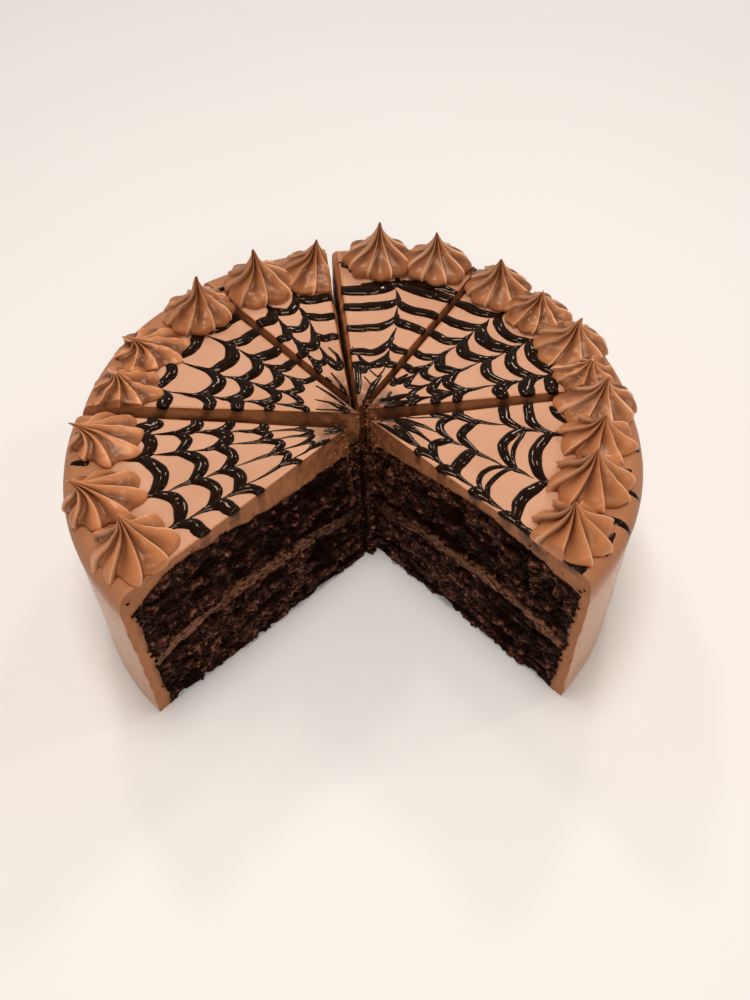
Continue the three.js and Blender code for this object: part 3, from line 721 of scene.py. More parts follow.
def sponge_material(name, looks):
    """Moist dark crumb, coloured from its relief: near black in the holes as painted shade, brown on the
    lumps and redder on a few, partly its own colour and partly painted light, with a wet gleam."""
    material, tree, shader, place = new_material(
        name, Roughness=0.34, Specular_IOR_Level=0.13, Specular_Tint=CRUMB_GLEAM)
    shade = unevenness(tree, place, 460.0, 5.0, 0.75)
    patch = unevenness(tree, place, 75.0, 3.0)
    relief = kept_number(tree, "relief")
    # Painted shade and light: hollows of the relief stay near black, raised lumps turn brown
    lit_lumps = product(tree, banded(tree, shade, 0.32, 0.56), banded(tree, relief, 0.2, 0.75))
    colour = blended(tree, lit_lumps, looks.sponge_colour, looks.sponge_lit_colour)
    # Painted light: a few redder specks on the highest lumps, partly the crumb's own colour
    lit_specks = product(tree, banded(tree, shade, 0.5, 0.7), banded(tree, relief, 0.35, 0.95))
    lit_specks = product(tree, lit_specks, banded(tree, patch, 0.12, 0.5))
    colour = blended(tree, lit_specks, colour, looks.lit_crumb_colour)
    dragged = product(tree, kept_number(tree, "smear"), banded(tree, shade, 0.3, 0.6))
    colour = blended(tree, dragged, colour, looks.drag_colour)
    tree.links.new(colour, shader.inputs["Base Color"])
    fine = unevenness(tree, place, 900.0, 4.0, 0.7)
    bumped(tree, shader, fine, 0.6, 1.0)
    return material


def stained_material(name, looks):
    """Frosting torn off by the knife, mixed with crumb."""
    material, tree, shader, place = new_material(
        name, Roughness=0.4, Specular_IOR_Level=0.3, Specular_Tint=WARM_GLEAM)
    shade = unevenness(tree, place, 260.0, 4.0, 0.6)
    # The cut frosting's colour here carries its painted shade too
    colour = blended(tree, banded(tree, shade, 0.35, 0.65), looks.stain_colour, looks.cut_shade_colour)
    colour = blended(tree, product(tree, kept_number(tree, "relief"), 0.7), colour, looks.stain_colour)
    tree.links.new(colour, shader.inputs["Base Color"])
    bumped(tree, shader, unevenness(tree, place, 700.0, 3.0), 0.3, 0.8)
    return material


def filling_material(name, looks):
    """Nut cream: lighter brown, dulled by crumb from the layers."""
    material, tree, shader, place = new_material(
        name, Roughness=0.5, Specular_IOR_Level=0.2, Specular_Tint=WARM_GLEAM)
    crumb = unevenness(tree, place, 480.0, 5.0, 0.7, stretch=(1.0, 1.0, 2.2))
    wide = unevenness(tree, place, 70.0, 3.0)
    colour = blended(tree, banded(tree, wide, 0.35, 0.7), looks.filling_colour, looks.filling_shade)
    covered = combined(tree, "ADD", banded(tree, crumb, 0.46, 0.56), kept_number(tree, "smear"))
    colour = blended(tree, covered, colour, looks.sponge_colour)
    tree.links.new(colour, shader.inputs["Base Color"])
    fine = unevenness(tree, place, 600.0, 3.0)
    bumped(tree, shader, fine, 0.4, 0.8)
    return material


def ganache_material(name, looks):
    """Set ganache: near black and glossy, a little uneven."""
    material, tree, shader, place = new_material(
        name, Roughness=0.08, Specular_IOR_Level=0.22, Specular_Tint=DARK_GLEAM)
    shade = unevenness(tree, place, 160.0, 3.0)
    colour = blended(tree, banded(tree, shade, 0.4, 0.75), looks.ganache_colour, looks.ganache_shade)
    tree.links.new(colour, shader.inputs["Base Color"])
    rough = ranged(tree, unevenness(tree, place, 260.0, 2.0), To_Min=0.05, To_Max=0.14)
    tree.links.new(rough, shader.inputs["Roughness"])
    fine = unevenness(tree, place, 380.0, 2.0)
    bumped(tree, shader, fine, 0.2, 0.14)
    return material


# The web of ganache

def cut_direction(cut, which, radius):
    """The direction, from the web's middle, of the point where a cut meets a ring."""
    hit = meet_circle(cut["tip"], cut["cuts"][which], cut["middle"], radius)
    flat = hit - np.array(cut["middle"])
    degrees = math.degrees(math.atan2(flat[1], flat[0]))
    return degrees + 360.0 * round((cut["cuts"][which] - degrees) / 360.0)


def half_width(radius):
    """Half the width of a ganache line: thin near the middle of the cake, and thicker outwards."""
    return np.interp(radius, (12, 20, 32, 45, 60), (0.9, 1.3, 1.9, 2.35, 2.6))


def outer_end(cut, ring, i):
    """How far out a tail may reach along a drag line: to the next ring out, or a little way."""
    if ring == 0:
        return (cut["rings"][0][i] + cut["rings"][0][i + 1]) / 2 + 14.0
    outer = cut["rings"][ring - 1]
    return (outer[i] + outer[i + 1]) / 2 + 2.0


def web_strokes(name, settings):
    """All lines of a slice's web as straight stretches: two ends and their half widths.

    Between two drag lines a ring bends outwards like the end of an ellipse, by the pull times one
    less the root of one less the way squared, and thins until it meets its neighbour along the
    line. A thin tail then follows the drag line outwards."""
    cut = SLICES[name]
    centre = np.array(cut["middle"])
    random = np.random.default_rng(settings.seed + ord(name))
    stretches = []
    for ring, radii in enumerate(cut["rings"]):
        drags = [drag - DRAG_BENDS[name] * (75.0 - radii[0]) for drag in cut["drags"]]
        bounds = [cut_direction(cut, 0, radii[0]), *drags, cut_direction(cut, 1, radii[-1])]
        for i, radius in enumerate(radii):
            way = -np.cos(np.linspace(0, np.pi, 25))
            shares = (way + 1) / 2
            pull = np.zeros(2)
            for side in (0, 1):
                other = i - 1 if side == 0 else i + 1
                if 0 <= other < len(radii):
                    pull[side] = (radii[other] - radius) / 2 + 0.01
            lean = np.where(way < 0, pull[0], pull[1])
            bend = 1 - np.sqrt(np.clip(1 - (0.995 * way) ** 2, 0, 1))
            wobble = 0.4 * np.sin(shares * random.uniform(4, 8) + random.uniform(0, 6))
            pulled = np.where(lean != 0, settings.web_pull * random.uniform(0.85, 1.15), 0)
            r = radius + lean * np.abs(way) ** 3 + pulled * bend + wobble * (1 - bend)
            thin = np.where(lean != 0, 1 - 0.6 * np.abs(way) ** 4, 1 - 0.22 * np.abs(way) ** 3)
            widths = half_width(radius) * settings.web_width * thin * random.uniform(0.82, 1.12)
            widths = widths * WEB_WIDTHS[name]
            if i > 0 and i + 1 < len(radii):
                widths = widths * random.uniform(0.9, 1.1)
            way_out = heading(mix(bounds[i], bounds[i + 1], shares))
            for shift, part in DOUBLED.get((name, ring, i), ((0.0, 1.0),)):
                flat = centre + way_out * (r + shift * (1 - bend))[:, None]
                half = (widths * part)[:, None]
                stretches.append(np.concatenate([flat[:-1], flat[1:], half[:-1], half[1:]], 1))
        for i, drag in enumerate(drags):
            start = (radii[i] + radii[i + 1]) / 2 + settings.web_pull * 0.75
            length = (outer_end(cut, ring, i) - start) * random.uniform(0.8, 1.0)
            shares = np.linspace(0, 1, 9)
            bend = random.uniform(-1.2, 1.2) * shares**2
            turned = drag + bend + DRAG_BENDS[name] * length * shares
            flat = centre + heading(turned) * (start + length * shares)[:, None]
            widths = 0.22 + half_width(radii[i]) * 0.42 * (1 - shares) ** 1.3
            stretches.append(np.concatenate([flat[:-1], flat[1:], widths[:-1, None], widths[1:, None]], 1))
    for stroke in STROKES[name]:
        stroke = np.array(stroke, float)
        shares = np.linspace(0, 1, 4 * len(stroke))
        x, y, widths = (flowing(stroke[:, i], shares)[:, None] for i in range(3))
        stretches.append(np.concatenate([x[:-1], y[:-1], x[1:], y[1:], widths[:-1], widths[1:]], 1))
    return np.concatenate(stretches)


def web_height(plan, strokes, settings):
    """Height of the ganache over the frosting at each point of the plan, negative outside it.

    For each stretch the distance to its middle line is taken from its half width there. Inside,
    the height is the root of one less the distance squared over the half width squared, times half
    the half width or the greatest height, whichever is less."""
    wobbly = on_plan(plan)
    plan = plan + 0.3 * np.stack([clouds(wobbly, 4.0, 71), clouds(wobbly, 4.0, 72)], -1)
    best = np.full(len(plan), -1.0)
    for x0, y0, x1, y1, w0, w1 in strokes:
        wide = max(w0, w1) + 0.9
        near = (plan[:, 0] > min(x0, x1) - wide) & (plan[:, 0] < max(x0, x1) + wide)
        near &= (plan[:, 1] > min(y0, y1) - wide) & (plan[:, 1] < max(y0, y1) + wide)
        spots = plan[near]
        line = np.array([x1 - x0, y1 - y0])
        share = np.clip(((spots - (x0, y0)) @ line) / max(line @ line, 1e-9), 0, 1)
        gap = np.linalg.norm(spots - (x0, y0) - share[:, None] * line, axis=1)
        width = mix(w0, w1, share)
        round_top = np.sqrt(np.clip(1 - (gap / width) ** 2, 0, 1))
        round_top = round_top * np.minimum(width * 0.5, settings.web_height)
        height = np.where(gap < width, round_top, (width - gap) * 0.8)
        best[near] = np.maximum(best[near], height)
    return best


def top_height(plan):
    """The frosted top: flat, with two sizes of very slight unevenness."""
    return CAKE_TOP + summed_clouds(on_plan(plan), TOP_WAVES)


def outline_steps(top_steps, shoulder_steps, wall_steps):
    """The frosting's outline from tip to foot: for each point its kind and its share of that part."""
    top = [(0, share) for share in np.linspace(0, 1, top_steps + 1)]
    shoulder = [(1, share) for share in np.linspace(0, 1, shoulder_steps + 1)[1:]]
    wall = [(2, share) for share in np.linspace(0, 1, wall_steps + 1)[1:]]
    return np.array(top + shoulder + wall)


def outer_face(cut, turn, kind, share):
    """Points of the frosting's outer face: flat top, then a shoulder that falls as one less the
    cosine while it widens as the sine, then the wall, which leans in to its foot."""
    flare = cut["flare"][0] * (1 - turn) ** 2 + cut["flare"][1] * turn**2
    rim = CAKE_RADIUS + flare
    angle = np.where(kind == 1, share, 0) * np.pi / 2
    reach = np.where(kind == 0, share, 1.0)
    radius = rim - SHOULDER_WIDTH * (1 - np.sin(angle))
    radius = np.where(kind == 2, mix(rim, CAKE_RADIUS, share), radius)
    z = CAKE_TOP - SHOULDER_DROP * (1 - np.cos(angle))
    z = np.where(kind == 2, (CAKE_TOP - SHOULDER_DROP) * (1 - share), z)
    points = slice_points(cut, turn, reach, radius, z)
    lift = top_height(points[..., :2]) - CAKE_TOP
    points[..., 2] += np.where(kind == 2, 0, lift * np.cos(angle))
    side = summed_clouds(points, WALL_WAVES)
    side = side + summed_clouds(points * np.array(SPATULA_STRETCH), SPATULA_MARKS)
    outward = points[..., :2] - np.array(cut["centre"])
    outward = outward / np.maximum(np.linalg.norm(outward, axis=-1, keepdims=True), 1e-6)
    upright = np.sin(np.where(kind == 2, np.pi / 2, angle))
    points[..., :2] += outward * (np.where(kind == 0, 0, upright) * side)[..., None]
    return points


def inner_face(cut, turn, kind, share):
    """Points of the frosting's inner face: the sponge's top and side, a small gap away."""
    reach = np.where(kind == 0, share, 1.0)
    top = sponge_top(cut, turn, reach) + FIT_GAP
    z = np.where(kind == 1, top - 2.0 * share, top)
    z = np.where(kind == 2, (top - 2.0) * (1 - share), z)
    return slice_points(cut, turn, reach, sponge_radius(z, turn) + FIT_GAP, z)


def cut_normals(cut):
    """The flat directions that the two cuts of a slice face."""
    return heading(cut["cuts"][0] - 90.0), heading(cut["cuts"][1] + 90.0)


def push_cuts(cut, points, turn, amount):
    """Moves the points on the two cuts along the way that each faces."""
    first, second = cut_normals(cut)
    points = points.copy()
    points[turn == 0, :2] += first * amount[turn == 0][:, None]
    points[turn == 1, :2] += second * amount[turn == 1][:, None]
    return points


def gap_fill(name, points, turn):
    """How far points on a closed cut bulge: a share of half the room to the neighbour's cut, which
    grows with the depth below the top as 3s^2 - 2s^3."""
    amount = np.zeros(len(points))
    for which in (0, 1):
        here = turn == which
        if GAP_FILLS[name][which] == 0:
            continue
        other = SLICES[SLICE_ORDER[SLICE_ORDER.index(name) + (1 if which else -1)]]
        away = points[here, :2] - np.array(other["tip"])
        room = np.clip(away @ cut_normals(other)[1 - which] / 2 - 0.4, 0, None)
        deep = np.clip((CAKE_TOP - points[here, 2]) / mix(14.0, 4.0, GAP_FILLS[name][which]), 0, 1)
        uneven = 1 - 0.12 * (1 + clouds(points[here], 7.0, 121))
        amount[here] = room * GAP_FILLS[name][which] * deep * deep * (3 - 2 * deep) * uneven
    return amount


def make_frosting(name, settings, material):
    """One slice's frosting as a bent block: round the cake, from tip to foot, and through its
    thickness. The cuts get knife marks, bubbles, stains of crumb and, below the web's lines, smears
    of ganache."""
    cut = SLICES[name]
    front = name in OPEN_SLICES
    round_steps, top_steps, wall_steps, depth_steps = FROSTING_STEPS[front]
    outline = outline_steps(top_steps, SHOULDER_STEPS, wall_steps)
    steps = (round_steps, len(outline) - 1, depth_steps)
    grid, faces = block_faces(steps)
    turn = grid[:, 0] / steps[0]
    kind, share = outline[grid[:, 1]].T
    depth = grid[:, 2] / steps[2]
    inner = inner_face(cut, turn, kind, share)
    outer = outer_face(cut, turn, kind, share)
    points = mix(inner, outer, depth[:, None])
    on_cut = (turn == 0) | (turn == 1)
    marks = summed_clouds(points * np.array(KNIFE_STRETCH), KNIFE_MARKS) + summed_clouds(points, FINE_MARKS)
    bubbles = np.clip(0.32 - lumps(points, BUBBLE_SIZE, 93), 0, 1) * BUBBLE_DEPTH
    fill = gap_fill(name, points, turn)
    points = push_cuts(cut, points, np.where(depth < 0.98, turn, 0.5), marks - bubbles - 0.1)
    points = push_cuts(cut, points, turn, fill)
    strokes = web_strokes(name, settings)
    above = outer[:, :2]
    wet = np.clip(web_height(above, strokes, settings) / 0.8 - 0.1, 0, 1)
    run = SMEAR_LENGTH + SMEAR_SPREAD * clouds(on_plan(above), 9.0, 122)
    below = np.clip((outer[:, 2] - points[:, 2]) / run, 0, 1)
    smear = np.where(on_cut & (kind < 2), wet * (1 - below) ** 0.5, 0)
    reach = np.where(kind == 0, share, 1.0)
    near_crumb = np.clip(1 - (points[:, 2] - inner[:, 2]) / SPONGE_STAIN_REACH, 0, 1) ** 1.5
    near_tip = np.clip(1 - reach / CUT_TIP_STAIN, 0, 1) ** 0.8
    open_cut = turn == (0 if name == "f" else 1)
    all_over = np.where(open_cut & front, OPEN_CUT_STAIN, 0.0)
    beside = 0.85 * np.clip(1 - depth * WALL_THICKNESS / WALL_STAIN_REACH, 0, 1)
    beside = np.where(on_cut & (kind == 2), beside, 0)
    stain = np.where(on_cut & (kind < 2), np.maximum(np.maximum(0.8 * near_crumb, near_tip), all_over), 0)
    stain = np.maximum(stain, np.where(depth == 1, np.clip(1 - reach / TOP_TIP_STAIN, 0, 1) ** 0.5, 0))
    stain = np.maximum(stain, np.maximum(beside, np.where(kind == 2, 0.7 * all_over * on_cut, 0)))
    # The rim's painted shade grows outwards across the top and fades down the top of the wall
    out = np.linalg.norm(outer[:, :2] - np.array(cut["centre"]), axis=1)
    rim = np.where(kind == 2, np.clip(1 - share * 9, 0, 1), np.clip((out - SHADED_RIM_START) / SHADED_RIM_WIDTH, 0, 1))
    values = {
        "smear": smear,
        "stain": stain,
        # Where the cut faces' painted shade goes
        "cut": on_cut * 1.0,
        # Where the wall's painted sheen, its lower roughness and its spatula marks go
        "wall": np.where((kind == 2) & (depth == 1) & ~on_cut, np.clip(share * 8, 0, 1), 0),
        "rim": np.where((depth == 1) & ~on_cut, rim, 0),
    }
    piece = welded_mesh(f"frosting_slice_{name}", points, faces, values)
    return dress(piece, material, "frosting", f"frosting_{name}", crease=40)


def make_web(name, settings, material):
    """One slice's ganache: the frosting's own outer face, lifted by the web's height, kept only
    where that is above it, and closed underneath by the same faces sunk into the frosting."""
    cut = SLICES[name]
    outline = outline_steps(*WEB_STEPS, 1)[:-1]
    steps = max(int((cut["cuts"][1] - cut["cuts"][0]) * WEB_DEGREE_STEPS), 100)
    turn, row = np.meshgrid(np.arange(steps + 1) / steps, np.arange(len(outline)), indexing="ij")
    kind, share = outline[row.ravel()].T
    turn = turn.ravel()
    base = outer_face(cut, turn, kind, share)
    height = web_height(base[:, :2], web_strokes(name, settings), settings)
    height = np.maximum(height, -0.35)
    height = np.where(height > 0, height * (1 + 0.22 * clouds(base, 3.2, 95)), height)
    quads = facing(base, grid_quads(steps + 1, len(outline)), UPWARDS)
    quads = quads[(height[quads] > -0.05).any(1)]
    top = base + UPWARDS * height[:, None]
    points, faces = closed_sheet(top, base - np.array([0, 0, 0.6]), quads)
    for which in (0, 1):
        more_points, more_faces = drips(name, which, settings)
        faces = np.concatenate([faces, more_faces + len(points)])
        points = np.concatenate([points, more_points])
    piece = add_mesh(f"web_slice_{name}", points, faces)
    return dress(piece, material, "ganache")


def drips(name, which, settings):
    """Ganache that has run over the edge of a cut, below each line of the web that meets it. Each
    drip's length grows with the height of the line above it. Across the edge it is round: its
    thickness is the line's height times the root of one less the way down over the length squared."""
    cut = SLICES[name]
    along, high = DRIP_STEPS[0] + 1, DRIP_STEPS[1] + 1
    reach, down = np.meshgrid(np.linspace(0.02, 0.965, along), np.linspace(-1.3, 6.0, high), indexing="ij")
    reach, down = reach.ravel(), down.ravel()
    kind = np.zeros(len(reach))
    edge = outer_face(cut, np.full(len(reach), float(which)), kind, reach)
    plump = np.clip(web_height(edge[:, :2], web_strokes(name, settings), settings), 0, None)
    length = plump**1.5 * mix(0.5, 1.4, np.clip(0.5 + 0.8 * clouds(edge, 8.0, 131), 0, 1)) + 1e-6
    limit = np.where(down > 0, length, plump + 1e-6)
    round_out = np.sqrt(np.clip(1 - (down / limit) ** 2, 0, 1))
    inside = (plump > 0.05) & (np.abs(down) < limit)
    out = np.where(inside, 0.65 * np.minimum(plump, 1.1) ** 1.4 * round_out, -0.3)
    normal = np.append(cut_normals(cut)[which], 0.0)
    base = edge - UPWARDS * down[:, None]
    quads = facing(base, grid_quads(along, high), normal)
    quads = quads[(out[quads] > 0).any(1)]
    return closed_sheet(base + normal * out[:, None], base - normal * 0.6, quads)


def facing(points, quads, direction):
    """The faces, turned over if on the whole they face away from a direction."""
    a, b, c = points[quads[:, 0]], points[quads[:, 1]], points[quads[:, 2]]
    return quads if np.cross(b - a, c - a).sum(0) @ direction > 0 else quads[:, ::-1]


def closed_sheet(top, bottom, quads):
    """A sheet of faces closed by the same faces below, turned over, and by walls along its rim,
    which is every edge that has a face on one side only."""
    count = len(top)
    edges = np.concatenate([quads[:, [i, (i + 1) % 4]] for i in range(4)])
    keys = edges[:, 0] * count + edges[:, 1]
    back = edges[:, 1] * count + edges[:, 0]
    rim = edges[~np.isin(keys, back)]
    walls = np.stack([rim[:, 1], rim[:, 0], rim[:, 0] + count, rim[:, 1] + count], 1)
    faces = np.concatenate([quads, quads[:, ::-1] + count, walls])
    points = np.concatenate([top, bottom])
    used, faces = np.unique(faces, return_inverse=True)
    points, faces, _ = welded(points[used], faces.reshape(-1, 4))
    return points, faces


# Sponge and filling

def crumb_relief(points):
    """Relief of a torn crumb, longer along the layers than across them: two sizes of lumps, fine
    unevenness, a gentle slope, and deep holes and long hollows where two more clouds are high."""
    along = points * np.array(CRUMB_STRETCH)
    coarse = 2.5 * (0.5 - lumps(along, 4.2, 101))
    fine = 1.2 * (0.5 - lumps(along, 1.8, 104))
    grain = 0.35 * clouds(points, 0.9, 107)
    holes = -6.0 * np.clip(clouds(along, 2.7, 108) - 0.28, 0, 1)
    hollows = -8.0 * np.clip(clouds(points * np.array(HOLLOW_STRETCH), 3.6, 110) - 0.24, 0, 1)
    slope = 0.6 * clouds(along, 11.0, 109)
    return coarse + fine + grain + holes + hollows + slope


def make_layer(name, kind, lower, upper, settings, material, slot):
    """One layer of a slice as a bent block: round the cake, from tip to wall, and from its lower to
    its upper height. Its cuts are torn crumb, or cream."""
    cut = SLICES[name]
    long_steps, tall_steps = LAYER_STEPS[name in OPEN_SLICES]
    steps = (LAYER_WIDTH_STEPS, long_steps, FILLING_STEPS if kind == "filling" else tall_steps)
    grid, faces = block_faces(steps)
    turn = grid[:, 0] / steps[0]
    reach = grid[:, 1] / steps[1]
    up = grid[:, 2] / steps[2]
    z = mix(lower(cut, turn, reach), upper(cut, turn, reach), up)
    points = slice_points(cut, turn, reach, sponge_radius(z, turn), z)
    relief = crumb_relief(points)
    if kind == "filling":
        amount = 0.3 * np.clip(relief, -2, 1) + 0.45
    else:
        amount = np.clip(relief * settings.crumb_depth - 0.5, -4.0, 1.2) - slot_depth(name, turn, reach, z)
    near_wall = np.clip((reach - 0.955) / 0.035, 0, 1)
    amount = mix(amount, np.clip(0.4 * amount, -1.2, 0.1) - 0.1, near_wall)
    amount = amount * mix(0.45, 1.0, np.clip(z / 4.0, 0, 1))
    closed = np.zeros(len(points))
    for which in (0, 1):
        closed[turn == which] = GAP_FILLS[name][which] > 0
    amount = np.where(closed > 0, 0.3 * amount, amount)
    drag = closed * np.clip(1.25 - (CAKE_TOP - points[:, 2]) / 34.0, 0, 1)
    points = push_cuts(cut, points, turn, amount + gap_fill(name, points, turn))
    if kind == "filling":
        drag = np.clip(0.85 - reach / 0.42, 0, 1) * (closed == 0)
    # Relief, which the sponge's material turns into painted shade in hollows and light on lumps
    values = {"relief": np.clip(relief * 0.5 + 0.5, 0, 1), "smear": drag}
    piece = welded_mesh(f"{kind}_slice_{name}", points, faces, values)
    return dress(piece, material, slot, f"{kind}_{name}", crease=75)


def slot_depth(name, turn, reach, z):
    """The dark slot above the filling on one open cut: deepest at its middle, as a cosine both ways."""
    if name != "f":
        return np.zeros(len(z))
    above = z - filling_height(SLICES[name], turn, reach, 1) - 3.4 - 1.2 * np.sin(reach * 21)
    along = np.clip((reach - 0.5) / 0.2, -1, 1)
    high = np.clip(above / 2.4, -1, 1)
    return np.where(turn == 0, 1.1 * (1 + np.cos(np.pi * along)) * (1 + np.cos(np.pi * high)) / 1.4, 0)


def flat_foot(cut, turn, reach):
    """The foot of the lower sponge, flat on whatever carries the cake."""
    return np.zeros(turn.shape)


def filling_low(cut, turn, reach):
    """The filling's lower face."""
    return filling_height(cut, turn, reach, -1)


def filling_high(cut, turn, reach):
    """The filling's upper face."""
    return filling_height(cut, turn, reach, 1)


LAYERS = (
    ("lower_sponge", flat_foot, filling_low),
    ("filling", filling_low, filling_high),
    ("upper_sponge", filling_high, sponge_top),
)

# Up a drop, as shares of its own height and radius: its heights, then at each height the radius of
# a drop with round toes and of one with drawn out toes, how deep the folds of each are, and how far
# its strands swell between the crests
DROP_HEIGHTS = (0.0, 0.035, 0.09, 0.16, 0.25, 0.34, 0.43, 0.52, 0.62, 0.72, 0.82, 0.91, 1.0)
ROUND_RADII = (0.86, 0.94, 0.99, 1.0, 0.95, 0.81, 0.63, 0.46, 0.31, 0.195, 0.115, 0.06, 0.015)
DRAWN_RADII = (0.93, 0.99, 1.0, 0.97, 0.87, 0.72, 0.56, 0.42, 0.29, 0.19, 0.115, 0.06, 0.015)
ROUND_FOLDS = (0.12, 0.12, 0.12, 0.12, 0.15, 0.27, 0.45, 0.61, 0.72, 0.74, 0.68, 0.5, 0.3)
DRAWN_FOLDS = (0.32, 0.32, 0.32, 0.34, 0.4, 0.5, 0.6, 0.67, 0.71, 0.72, 0.66, 0.5, 0.3)
SWELLS = (0.16, 0.2, 0.23, 0.26, 0.26, 0.22, 0.13, 0.05, 0.01, 0.0, 0.0, 0.0, 0.0)


def make_rosette(key, settings, material):
    """One piped drop. Round it, the radius falls steeply from each thin crest into a fold and rises
    slowly to the next: as the root of the sine of a power of the way between two crests, or, where
    the toes are drawn out, as a straight line after a short fall. The fold's depth grows from foot
    to peak. At the foot the strands swell between the crests, or run out to points along them. The
    peak leans, twists and curls."""
    name, at, radius, height, lean, rib, twist, curl, uneven, pointed, rounded = ROSETTES[key]
    random = np.random.default_rng(settings.seed + sum(ord(letter) * (i + 3) for i, letter in enumerate(key)))
    around = RIB_COUNT * RIB_STEPS
    share, way = np.meshgrid(np.linspace(0, 1, DROP_ROWS), np.arange(around) / RIB_STEPS, indexing="ij")
    strand = np.floor(way)
    part = way - strand
    part = part - 0.115 * np.sin(2 * np.pi * part)
    skewed = part**settings.fold_skew
    scoop = np.sin(np.pi * skewed) ** 0.5
    finger = np.sin(np.pi * skewed) ** 2.2
    fall_away = np.sin(np.pi / 2 * np.clip(part / 0.15, 0, 1)) ** 0.8
    tooth = np.where(part < 0.15, fall_away, (1 - np.clip((part - 0.15) / 0.85, 0, 1)) ** 1.15)
    flute = mix(mix(scoop, tooth, pointed), finger, rounded)
    fold = mix(flowing(ROUND_FOLDS, share), flowing(DRAWN_FOLDS, share), pointed)
    swell = mix(flowing(SWELLS, share), 0, max(pointed, rounded)) * np.sin(np.pi * part) ** 1.5
    longer = 1 + (0.06 + 0.12 * uneven) * random.uniform(-1, 1, RIB_COUNT)
    deeper = random.uniform(0.85, 1.1, RIB_COUNT)
    aside = random.uniform(-4, 4, RIB_COUNT) * (1 + uneven)
    this = strand.astype(int) % RIB_COUNT
    following = (this + 1) % RIB_COUNT
    soft = part * part * (3 - 2 * part)
    long_here = mix(longer[this], longer[following], soft)
    aside_here = mix(aside[this], aside[following], part)
    low = np.clip(1 - share / 0.6, 0, 1)
    reach = radius * mix(flowing(ROUND_RADII, share), flowing(DRAWN_RADII, share), pointed)
    reach = reach * (1 - fold * settings.fold_depth * deeper[this] * flute + swell)
    reach = reach * mix(1.0, long_here, low)
    from_crest = np.minimum(part, 1 - part)
    reach = reach + settings.crest_bead * np.exp(-(from_crest / BEAD_WIDTH) ** 2) * (1 - rounded)
    angle = rib + 360.0 / RIB_COUNT * (strand + part) + twist * share**1.3 + aside_here * low
    centre = np.array(at) + np.multiply.outer(share**1.6, lean)
    centre = centre + np.multiply.outer(np.clip((share - 0.82) / 0.18, 0, 1) ** 2, curl)
    flat = centre + heading(angle) * reach[..., None]
    z = CAKE_TOP - SOLE_SINK + height * flowing(DROP_HEIGHTS, share)
    points = np.concatenate([flat, z[..., None]], -1)
    rough = clouds(points, 5.0, 111) * 1.1 * uneven + clouds(points, 2.2, 112) * 0.35 * uneven
    points[..., 2] += rough * np.sin(np.pi * share) ** 0.6
    points[..., :2] += heading(angle) * (rough * 0.5 + 0.12 * clouds(points, 3.0, 113))[..., None]
    out = np.linalg.norm(points[..., :2] - np.array(SLICES[name]["centre"]), axis=-1)
    over = np.clip((out - CAKE_RADIUS + SHOULDER_WIDTH) / SHOULDER_WIDTH, 0, 0.98)
    fall = SHOULDER_DROP * (1 - np.sqrt(1 - over**2))
    points[..., 2] -= fall * np.clip(1 - share / 0.45, 0, 1)
    points[..., 2] = np.maximum(points[..., 2], CAKE_TOP - SHOULDER_DROP)
    # The crest's pale line: partly the frosting paler where it is thin, partly a painted highlight
    crest_highlight_width = mix(ROUND_HIGHLIGHT_WIDTH, DRAWN_HIGHLIGHT_WIDTH, max(pointed, rounded))
    crest = np.exp(-(from_crest / crest_highlight_width) ** 2)
    crest = crest * np.sin(np.pi * np.clip(share, 0.06, 0.97)) ** 0.4
    crest = crest * (1 - 0.6 * rounded) * (1 - 0.45 * pointed)
    # Painted shadow: a dark line on one side of each crest
    beside = np.exp(-(((part - SHADOW_LINE_PLACE) / SHADOW_LINE_WIDTH) ** 2))
    beside = (0.78 + 0.2 * pointed) * beside * np.clip(share / 0.12, 0, 1)
    # Painted shade: the folds darker towards the peak, where they are deepest
    shaded = mix(np.clip((share - 0.13) / 0.3, 0, 1), np.clip(0.35 + share * 2, 0, 1), rounded)
    deep = np.maximum(flute * shaded, beside)
    points = clip_to_slice(name, points.reshape(-1, 3))
    peak = points[-around:].mean(0) + PEAK_RISE * UPWARDS
    foot = np.array([*at, CAKE_TOP - SOLE_SINK])
    points = np.concatenate([points, [peak, foot]])
    # The crests' pale lines, partly a painted highlight, and the folds' painted shade, kept on the points
    values = {"crest": np.append(crest.ravel(), (0.5, 0)), "fold": np.append(deep.ravel(), (0.3, 0))}
    piece = add_mesh(f"piped_rosette_{key}", points, turned_faces(DROP_ROWS, around), values)
    return dress(piece, material, "piping", f"rosette_{key}", crease=60)


def clip_to_slice(name, points):
    """Flattens whatever reaches past a slice's cuts onto a plane just beyond each of them."""
    cut = SLICES[name]
    points = points.copy()
    for normal in cut_normals(cut):
        past = (points[:, :2] - np.array(cut["tip"])) @ normal - RIB_OVERHANG
        points[:, :2] -= np.clip(past, 0, None)[:, None] * normal
    return points


# Crumbs

